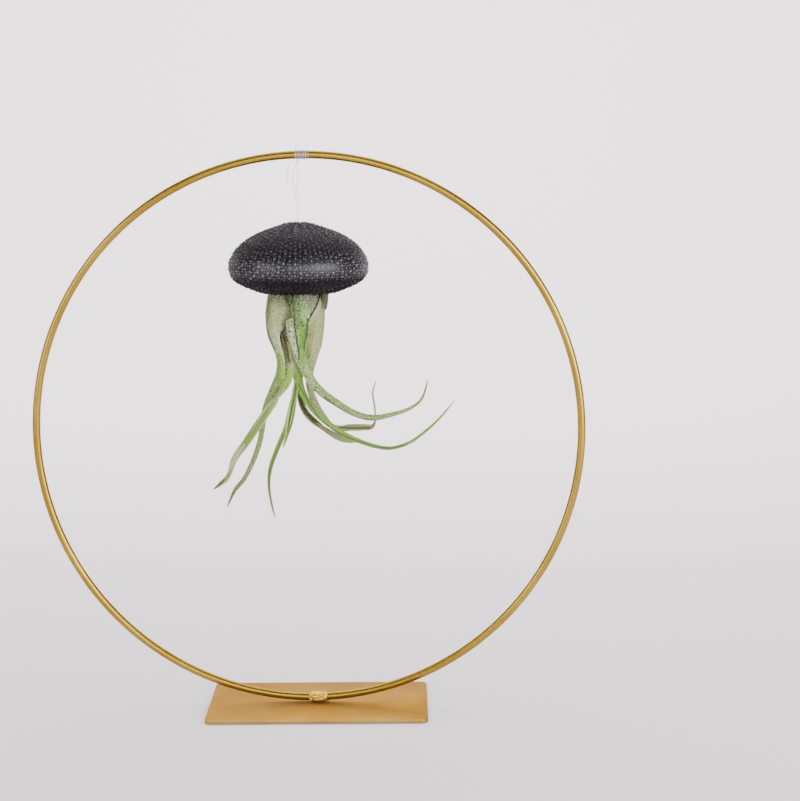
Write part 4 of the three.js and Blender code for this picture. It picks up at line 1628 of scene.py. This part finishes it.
LEAVES = (
    Leaf(
        "bract",
        None,
        (
            (3.6, -5.2, 241, 8, 40, 337), (6, -5.8, 236, 10, 42, 338),
            (7, -6, 231.5, 10.4, 42, 338), (7.2, -6.2, 226.5, 8.6, 36, 338),
            (7.1, -6.4, 221.5, 5.2, 26, 338), (6.8, -6.6, 217.5, 1.6, 18, 338),
        ),
        LeafTones(
            sheath=tone(58, 54, 32),
            blade=tone(82, 76, 44),
            tip=tone(56, 46, 26),
            margin=tone(140, 130, 90),
            hollow=tone(70, 56, 26),
            flecks=0.7,
        ),
        slot=Slot.DRY_SCALE,
        finish=LeafSkin(
            name="dry_scale_skin", fleck=tone(52, 40, 16), roughness=0.75, dust_share=0.2
        ),
    ),
    Leaf(
        "leaf_left_long",
        Sheath(1, 189, 78, 208, 124, 216.5),
        (
            (-24.6, -6.2, 211.4, 24.1, 119, 208), (-24.8, -6.2, 207.6, 18.2, 125, 206),
            (-24, -7, 203.2, 11.4, 140, 207), (-21.4, -8.2, 197, 7.4, 160, 209),
            (-19.5, -8.8, 190.5, 6.4, 170, 216), (-20.2, -8, 182.5, 6.8, 170, 220, -10),
            (-23.8, -5.6, 174, 6.2, 170, 214, -20),
            (-28, -2.8, 164, 4.4, 170, 216, -20), (-29.7, -1, 153, 4, 165, 226, -10),
            (-31.2, 0, 145.5, 3.8, 155, 232, -15), (-34.4, 1, 136, 3.4, 155, 232, -25),
            (-39.6, 2, 125.3, 2.9, 150, 230, -30), (-45.3, 3, 118, 2.3, 140, 226, -35),
            (-49.3, 3, 109, 1.2, 120, 220, -20),
        ),
        LeafTones(
            sheath=tone(172, 179, 132), blade=tone(138, 156, 96), tip=tone(84, 72, 44),
            flecks=0.6, blade_from=0.42, tip_from=0.78,
        ),
        (
            # Painted shade along the sheath's left edge.
            Mark(((-24.2, 224), (-24.6, 217), (-25.4, 211.5)), 2.0, tone(84, 94, 40), 0.7),
            Mark(((-25.9, 210), (-24.3, 204.1), (-21.4, 197.2)), 1.2, tone(50, 62, 26), 0.8),
            Mark(((-20.4, 220), (-19.8, 212), (-20.6, 206)), 3.2, tone(206, 210, 172), 0.55),
            # The next three strokes are painted shade where the sheath's right margin curls in.
            Mark(((-14.6, 228), (-12.8, 221), (-11.2, 215.5)), 3.2, tone(58, 60, 38), 0.9,
                 firm=1.2),
            Mark(((-12.8, 217), (-15.4, 211)), 3.4, tone(66, 64, 40), 0.85, firm=1.1),
            Mark(((-12.4, 213), (-14.6, 210), (-16.9, 205.6)), 2.6, tone(40, 38, 24), 0.9,
                 depth=0.4, firm=1.1),
            Mark(((-18.9, 194), (-18.7, 188), (-19.2, 180)), 2.4, tone(112, 150, 44), 0.75, firm=1),
            Mark(((-18.3, 205), (-17.2, 199), (-15.2, 191)), 1.2, tone(232, 236, 214), 0.95),
        ),
    ),
    Leaf(
        "leaf_right_upper",
        Sheath(2, 287, 30, 278, 53, 215),
        (
            (-8.4, -14, 206, 12.2, 82, 271), (-8.8, -13.2, 199, 9, 120, 268),
            (-7.4, -12.4, 192.6, 7, 150, 266), (-4.4, -12.2, 185.6, 5.9, 160, 266, 5),
            (-0.6, -12.6, 179.2, 5.4, 160, 266, 10), (4.7, -13.2, 173.6, 5.1, 160, 266, 10),
            (11.6, -14.4, 168.9, 4.5, 160, 264, 10), (18.4, -16, 164.7, 4.1, 160, 262, 10),
            (25.2, -17.5, 161.8, 3.8, 160, 260), (32, -19, 160.8, 3.6, 160, 260, -10),
            (40.5, -20.5, 162.5, 3, 150, 262, -15), (50.1, -22, 165.8, 2.2, 140, 264, -15),
            (57.2, -22.8, 171.5, 1.6, 120, 266, -10), (60.8, -23, 182.5, 1.2, 100, 268),
        ),
        LeafTones(
            sheath=tone(140, 158, 106), blade=tone(142, 164, 108), tip=tone(104, 104, 50),
            hollow=tone(52, 70, 26), flecks=0.85,
        ),
        (
            Mark(((-8.6, 226), (-8.5, 217.9), (-7.6, 210.4)), 2.6, tone(74, 100, 44), 0.7),
            # Painted shade in the gap along the left margin.
            Mark(((-10.6, 224), (-10, 214), (-9.9, 211)), 0.8, tone(34, 40, 20), 0.9),
            Mark(((-5.4, 210), (-5.6, 206.7), (-5.8, 199)), 3.2, tone(90, 148, 10), 0.95, firm=1),
            Mark(((-5.9, 197), (-6.3, 190)), 2.2, tone(112, 152, 50), 0.7, firm=1),
            Mark(((-11.6, 208), (-11.4, 203), (-9.4, 196)), 2.0, tone(214, 219, 184), 0.85),
            # Painted shade in the crease behind the rolled left margin.
            Mark(
                ((-10.1, 211.5), (-9.2, 203), (-8.1, 197), (-7.9, 193.2)),
                0.8, tone(26, 36, 16), 0.95, depth=0.45,
            ),
            # Painted shade along the right margin, where the next leaf meets it.
            Mark(((-2.7, 213.2), (-3.5, 206.4), (-4.7, 197.1)), 1.1, tone(34, 44, 16), 0.9),
            Mark(((-10.8, 193.5), (-7.3, 184.8), (-1.4, 176.5)), 0.8, tone(224, 230, 206), 0.85),
            # Painted shade along the blade's lower edge.
            Mark(
                ((5.8, 171.4), (13.8, 165.1), (21.7, 160.8), (32.4, 159.4), (40.9, 160.6)),
                0.7, tone(52, 62, 26), 0.8,
            ),
        ),
    ),
    Leaf(
        "leaf_right_back",
        Sheath(1.5, 14, 56, -8, 101, 213),
        (
            (4.6, -2.8, 206, 20.8, 116, 343), (2.8, -4.5, 198, 16.8, 135, 333),
            (0.6, -2.9, 190, 10.2, 150, 332), (-1.4, -1.2, 182, 6.4, 160, 330),
            (-1.4, 0.6, 174.5, 5.4, 160, 330), (1, 2, 166.6, 5, 160, 320),
            (3.6, 3.4, 160.6, 4.6, 150, 300, 10), (7.2, 4.8, 156, 4.2, 150, 250, 50),
            (12.5, 5.4, 153.4, 4.2, 170, 120, 40), (18, 5.4, 152.9, 4.2, 180, 95),
            (25, 4.6, 152.8, 4.1, 180, 92, -10), (30.6, 3.8, 153, 3.2, 160, 60, -20),
            (32.6, 3.2, 157, 1.7, 120, 40), (32.1, 2, 165, 1.4, 110, 60),
            (31.2, 1, 172, 1.3, 110, 60), (33.2, 0, 179.4, 1.1, 100, 60),
        ),
        LeafTones(
            sheath=tone(158, 162, 114), blade=tone(140, 150, 104), tip=tone(66, 76, 34),
            hollow=tone(150, 152, 104), flecks=0.45, tip_from=0.8,
        ),
        (
            Mark(((-0.6, 212), (-1.4, 205)), 2.8, tone(138, 146, 80), 0.6, firm=1.2),
            Mark(((-2, 205), (-3.2, 193)), 2.0, tone(104, 106, 60), 0.6),
            Mark(((2.4, 210), (1.8, 200)), 1.6, tone(178, 178, 140), 0.6),
            Mark(((5.9, 216), (5.2, 203.4), (3.2, 193)), 1.6, tone(122, 124, 92), 0.7),
            Mark(((4.2, 222), (1.9, 217.4), (-1.2, 213.9)), 1.0, tone(196, 200, 168), 0.75),
            # Painted shade in the channel between the two ridges.
            Mark(((11, 153.2), (18, 152.6), (29, 152.8)), 0.7, tone(62, 60, 34), 0.85),
        ),
    ),
    Leaf(
        "leaf_left_front",
        Sheath(4, 225, 70, 225, 70, 213),
        (
            (-15, -8.2, 203, 9.4, 90, 238), (-13.8, -7.8, 195, 8.6, 110, 244),
            (-14, -7.6, 188, 8, 125, 246), (-16.2, -8.4, 181, 7.4, 140, 236),
            (-19.8, -9.8, 174.4, 6.2, 150, 200, -20), (-25, -11.2, 166.4, 5.5, 170, 150, -30),
            (-30.4, -12, 157.8, 5.1, 180, 135, -30), (-37.4, -12.8, 147.4, 4.8, 180, 130, -30),
            (-43.9, -13, 138.2, 4.1, 170, 130, -30), (-46.2, -13, 131.8, 3.5, 150, 130, -10),
            (-48.8, -12.8, 127.2, 3.1, 130, 140, -30), (-54.9, -12, 122, 1.6, 110, 150, -30),
        ),
        LeafTones(
            sheath=tone(160, 148, 108), blade=tone(154, 170, 108), tip=tone(84, 66, 34),
            hollow=tone(96, 118, 44), flecks=0.45, tip_from=0.9,
        ),
        (
            # Painted shade deep between the sheaths.
            Mark(((-16.3, 208), (-15.4, 202.5)), 2.2, tone(30, 24, 14), 0.95, firm=1.1),
            Mark(((-15.6, 203), (-13.9, 194), (-13.2, 189)), 1.0, tone(64, 46, 30), 0.85),
            Mark(((-13.2, 203), (-11.1, 191)), 1.3, tone(150, 132, 102), 0.8),
            Mark(((-14.7, 189.9), (-11.2, 187.2)), 0.7, tone(206, 210, 172), 0.6),
            Mark(((-14, 183), (-15.3, 177)), 4, tone(136, 168, 50), 0.7, firm=1),
            Mark(((-39, 146), (-43, 138), (-47, 133)), 2.6, tone(210, 210, 184), 0.6, dust=1,
                 firm=1),
            Mark(((-47.6, 131), (-49.8, 127), (-55, 122.2)), 1.0, tone(66, 46, 28), 0.9),
            Mark(((-24.6, 170.4), (-32, 157.6), (-40, 145)), 0.5, tone(84, 108, 46), 0.7),
        ),
    ),
    Leaf(
        "leaf_right_lower",
        Sheath(3, 246, 70, 246, 70, 213),
        (
            (-13, -10.4, 205, 8.6, 90, 252), (-10.6, -8.6, 196.5, 6.6, 110, 262),
            (-9, -7.4, 189, 5.6, 130, 276), (-8.2, -6.8, 181.5, 5.2, 150, 290),
            (-5.8, -6.6, 173.5, 4.7, 160, 296, 15), (-2, -6.6, 167, 4.3, 170, 296, 30),
            (2.2, -6.6, 162, 4.1, 170, 294, 40), (8.4, -6.4, 156.7, 4, 170, 290, 50),
            (16, -6, 151.5, 3.8, 170, 286, 55), (27.9, -4, 145.9, 3.4, 170, 280, 60),
            (39.6, -1, 142.8, 3, 160, 275, 60), (50, 2, 145, 2.6, 150, 270, 60),
            (57, 4, 149.1, 2.2, 140, 270, 50), (66, 6.2, 156.4, 1.6, 120, 268, 40),
            (75.6, 8, 167, 1.2, 100, 266, 30),
        ),
        LeafTones(
            # The dark sheath tone is painted shade between the outer sheaths.
            sheath=tone(66, 66, 42), blade=tone(128, 162, 62), tip=tone(140, 150, 58),
            hollow=tone(60, 86, 24), flecks=0.35, tip_from=0.9, dust=0.5,
        ),
        (
            # Painted shade along the blade's groove.
            Mark(
                ((-8.6, 178), (-2.9, 167.3), (2.9, 158.7), (9.3, 153.2), (18, 148.7), (32, 143.2),
                 (40.7, 142), (49.3, 143.6)),
                0.8, tone(58, 84, 26), 0.8,
            ),
        ),
    ),
    Leaf(
        "leaf_centre_down",
        Sheath(5, 262, 60, 262, 60, 214),
        (
            (-10.6, -6.4, 205, 6, 80, 266), (-10.8, -4.6, 195, 4.8, 110, 266),
            (-11.2, -4.2, 185, 4, 150, 200), (-11, -5.6, 174, 3.6, 180, 110, -10),
            (-12.7, -7, 165.9, 3.5, 190, 100, -15), (-15.5, -8, 154.9, 3.3, 190, 100, -15),
            (-20.4, -8.8, 143.4, 3, 180, 100, -20), (-24.1, -9, 133.5, 2.6, 170, 100, -10),
            (-25.2, -9, 125, 2.1, 150, 95), (-24.2, -9, 115.5, 1.6, 120, 90),
            (-21.9, -9, 105.4, 1.2, 100, 90),
        ),
        LeafTones(
            blade=tone(124, 152, 58), tip=tone(84, 74, 42), hollow=tone(84, 116, 36),
            flecks=0.3, tip_from=0.68, dust=0.5,
        ),
        (
            Mark(((-10.5, 180), (-13.3, 166.9), (-15.9, 150.7)), 0.6, tone(214, 224, 168), 0.8),
            Mark(((-9.4, 180), (-12.2, 166.4), (-15, 150.4)), 0.5, tone(56, 78, 26), 0.8),
        ),
    ),
    Leaf(
        "leaf_right_channel",
        Sheath(2.6, 320, 74, 320, 74, 212),
        (
            (-3.6, -8.6, 205, 10, 90, 306), (-5.6, -5.4, 196.3, 6, 110, 290),
            (-7, -3, 187, 4.6, 140, 230), (-8.8, -2.4, 178, 4, 170, 150, -10),
            (-9, -2.2, 170.5, 3.8, 190, 135, -20), (-7, -2, 163, 4.2, 200, 135, -35),
            (-2.8, -1.4, 157.2, 4.6, 200, 140, -45), (2.4, -0.8, 152.9, 4.8, 190, 180, -60),
            (7.8, 0.2, 149.2, 4.8, 160, 240, -40), (13.6, 0.6, 146.6, 4.6, 140, 255, -22),
            (19.6, 1, 145.8, 4, 120, 262, -20), (24.4, 1.4, 146.2, 1.8, 100, 265, -20),
        ),
        LeafTones(
            sheath=tone(142, 132, 118), blade=tone(116, 112, 60), tip=tone(158, 168, 128),
            # The dark brown hollow is painted shade inside the channel.
            margin=tone(184, 184, 124), hollow=tone(56, 46, 22), flecks=0.35, tip_from=0.74,
        ),
        (
            # Painted shade in the channel.
            Mark(((-9.2, 170.4), (-5.6, 162.2), (0.4, 156)), 1.0, tone(50, 44, 22), 0.85),
            Mark(((3.2, 222), (1, 217.5), (-2, 214.3)), 1.2, tone(62, 54, 58), 0.8),
            Mark(((-1.6, 226), (-2.4, 219), (-2.8, 214)), 1.0, tone(88, 82, 70), 0.7),
        ),
    ),
    Leaf(
        "leaf_centre_short",
        Sheath(5, 300, 44, 300, 44, 216),
        (
            (-8.4, -3, 205, 4, 80, 290), (-9.8, -0.6, 194, 3.4, 110, 200),
            (-10.6, -1, 184, 3, 130, 120), (-10.6, -2.6, 174, 2.6, 150, 100),
            (-11.4, -4, 165.6, 2.4, 150, 100), (-13, -5.4, 156.6, 2.1, 140, 100),
            (-15.6, -6, 149, 1.7, 120, 100), (-17.7, -6.4, 143.2, 1.2, 100, 100),
        ),
        LeafTones(blade=tone(136, 164, 70), tip=tone(122, 126, 70), flecks=0.25, dust=0.6),
    ),
    Leaf(
        "leaf_back_left",
        Sheath(2, 128, 84, 128, 84, 213),
        (
            (-19, 12, 206, 10.5, 90, 125), (-18, 13.4, 199, 7, 130, 118, -10),
            (-17.4, 18, 192.5, 5.4, 160, 105, -40), (-17.2, 26, 188.6, 4.9, 170, 98, -65),
            (-18.4, 35, 189.4, 4.4, 170, 95, -75), (-20.6, 44, 194, 4, 170, 98, -55),
            (-22.4, 51, 202, 3.6, 160, 105, -30), (-24, 55.4, 213, 3, 150, 110, -10),
            (-27.4, 56.4, 226, 2.5, 140, 112, 5), (-32.4, 54.6, 238, 1.9, 120, 115, 10),
            (-37.6, 50.6, 248, 1.2, 100, 118, 15),
        ),
        LeafTones(flecks=0.6),
    ),
    Leaf(
        "leaf_back_right",
        Sheath(1, 68, 92, 68, 92, 212),
        (
            (-5.4, 13.6, 205, 10, 95, 76), (-6.2, 13.8, 198, 6.6, 130, 82, -10),
            (-5.4, 18, 191.5, 5.4, 160, 84, -40), (-3.6, 26, 187.6, 4.9, 170, 86, -65),
            (-1.6, 35, 188.4, 4.4, 170, 86, -75), (0, 44.4, 193.4, 4, 170, 86, -55),
            (0.4, 52, 202, 3.5, 160, 84, -30), (1.6, 57, 213.4, 3, 150, 80, -10),
            (5.4, 59, 226, 2.5, 140, 78, 5), (11, 57.4, 238, 1.9, 120, 74, 10),
            (17, 53, 248.6, 1.2, 100, 70, 15),
        ),
        LeafTones(sheath=tone(150, 160, 100), flecks=0.6),
    ),
    Leaf(
        "leaf_back_centre",
        Sheath(3, 98, 70, 98, 70, 214),
        (
            (-10.8, 10.4, 205, 7.6, 90, 96), (-10.8, 8.6, 196, 5.6, 130, 94),
            (-10.8, 9.6, 188.6, 4.8, 150, 90, -20), (-10.8, 14.4, 181.8, 4.4, 160, 90, -45),
            (-10.6, 22, 177.4, 4, 160, 90, -65), (-10.4, 30.4, 177.6, 3.6, 160, 90, -85),
            (-10.6, 37.6, 182, 3.2, 160, 90, -50), (-11.4, 42, 189.6, 2.7, 150, 90, -25),
            (-13.6, 43.6, 199, 2, 130, 95), (-17, 42, 208, 1.2, 100, 100, 20),
        ),
        LeafTones(blade=tone(132, 160, 66), flecks=0.45),
    ),
)


# ---------------------------------------------------------------- studio


@dataclass(frozen=True)
class PaleFloor(Finish):
    """A plain pale floor that curves up behind the object."""

    name: str = "pale_floor"
    base: Colour = tone(240, 231, 235)
    roughness: float = 0.7

    def dress(self, board: NodeBoard) -> Inputs:
        """Returns one even matte tone."""
        return {"Base Color": self.base, "Roughness": self.roughness}


@dataclass(frozen=True)
class SoftLight:
    """One large soft light, aimed at a point. Its lengths are metres, its power is watts."""

    name: str
    place: Place
    size: tuple[float, float]
    power: float
    colour: Place = (1.0, 1.0, 1.0)
    aim: Place = (0.0, 0.0, 0.2)

    def add(self) -> None:
        """Adds the light to the scene."""
        lamp = bpy.data.lights.new(self.name, "AREA")
        lamp.shape = "RECTANGLE"
        lamp.size, lamp.size_y = self.size
        lamp.energy = self.power
        lamp.color = self.colour
        holder = placed(self.name, lamp)
        holder.location = self.place
        facing = Vector(self.aim) - Vector(self.place)
        holder.rotation_euler = facing.to_track_quat("-Z", "Y").to_euler()


@dataclass
class Studio:
    """The camera, the lights and the floor.

    The camera's place is in millimetres, the floor's measures are in metres. The sky lights the
    object with sky_strength and looks as bright as backdrop beyond the floor's edges.
    """

    camera_place: Place = (48.1, -1139.0, 310.8)
    tilt_down: float = 7.15
    roll: float = -0.43
    yaw: float = -0.12
    lens: float = 95.7
    sensor: float = 36.0
    far_limit: float = 20.0
    sky: Place = (1.0, 0.97, 0.98)
    sky_strength: float = 0.05
    backdrop: float = 1.8
    floor_side: float = 2.0
    floor_front: float = -1.5
    floor_back: float = 1.1
    floor_bend: float = 0.6
    bend_faces: int = 16
    floor_top: float = 3.2
    lights: tuple[SoftLight, ...] = (
        SoftLight("window_right", (1.05, -0.95, 0.52), (1.1, 0.95), 32.0, (0.94, 0.97, 1.0)),
        SoftLight("window_left", (-1.1, -0.85, 0.52), (1.0, 0.95), 15.0, (0.95, 0.97, 1.0)),
        SoftLight("window_front", (0.25, -1.7, 0.6), (1.5, 0.9), 22.0, (0.96, 0.98, 1.0)),
        SoftLight("ceiling", (0.0, 0.35, 1.5), (1.6, 1.0), 12.0, aim=(0.0, 0.25, 0.0)),
        SoftLight("wall_wash", (0.0, 0.9, 1.7), (2.8, 0.5), 96.0, aim=(0.0, 2.0, 0.9)),
    )

    def add_camera(self) -> None:
        """Adds the camera."""
        tilt, roll, yaw = (math.radians(v) for v in (self.tilt_down, self.roll, self.yaw))
        level_share = math.cos(tilt)
        ahead = (math.sin(yaw) * level_share, math.cos(yaw) * level_share, -math.sin(tilt))
        forward = Vector(ahead)
        level = Vector((math.cos(yaw), -math.sin(yaw), 0))
        upright = level.cross(forward)
        right = level * math.cos(roll) + upright * math.sin(roll)
        up = upright * math.cos(roll) - level * math.sin(roll)
        turn = Matrix((right, up, -forward)).transposed().to_4x4()
        lens = bpy.data.cameras.new("front_camera")
        lens.lens = self.lens
        lens.sensor_width = self.sensor
        lens.sensor_fit = "HORIZONTAL"
        lens.clip_end = self.far_limit
        camera = placed("front_camera", lens)
        camera.matrix_world = Matrix.Translation(Vector(self.camera_place) * MM) @ turn
        bpy.context.scene.camera = camera

    def add_floor(self) -> None:
        """Adds the floor, which curves up into a backdrop."""
        shape = bmesh.new()
        back, bend = self.floor_back, self.floor_bend
        run = [(self.floor_front, 0.0), (back, 0.0)]
        for k in range(1, self.bend_faces + 1):
            a = math.pi / 2 * k / self.bend_faces
            run.append((back + bend * math.sin(a), bend * (1 - math.cos(a))))
        run.append((back + bend, self.floor_top))
        corners = [shape.verts.new((-self.floor_side, y, z)) for y, z in run]
        edges = [shape.edges.new(pair) for pair in zip(corners, corners[1:])]
        swept = bmesh.ops.extrude_edge_only(shape, edges=edges)
        moved = [v for v in swept["geom"] if isinstance(v, bmesh.types.BMVert)]
        bmesh.ops.translate(shape, vec=(2 * self.floor_side, 0, 0), verts=moved)
        bmesh.ops.recalc_face_normals(shape, faces=shape.faces)
        floor = coated("floor", as_mesh("floor", shape), PaleFloor())

    def add_sky(self) -> None:
        """Adds the even light of the room, with a pale backdrop beyond the floor's edges."""
        world = bpy.data.worlds.new("room")
        world.use_nodes = True
        board = NodeBoard(world.node_tree)
        seen = board.add("ShaderNodeLightPath").outputs["Is Camera Ray"]
        strength = board.spread(seen, self.sky_strength, self.backdrop)
        glow = world.node_tree.nodes["Background"]
        board.feed(glow, {"Color": (*self.sky, 1.0), "Strength": strength})
        bpy.context.scene.world = world

    def build(self) -> None:
        """Sets up the whole studio."""
        self.add_camera()
        self.add_floor()
        self.add_sky()
        for light in self.lights:
            light.add()
        log.info("studio: camera, floor and %d lights", len(self.lights))


def main() -> None:
    """Builds the studio and every sub-assembly in order."""
    logging.basicConfig(level=logging.INFO, format="%(message)s")
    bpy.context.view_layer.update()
    Studio().build()
    for part in (Stand(), HangingThread(), UrchinShell(), AirPlant(LEAVES)):
        part.build()


if __name__ == "__main__":
    main()
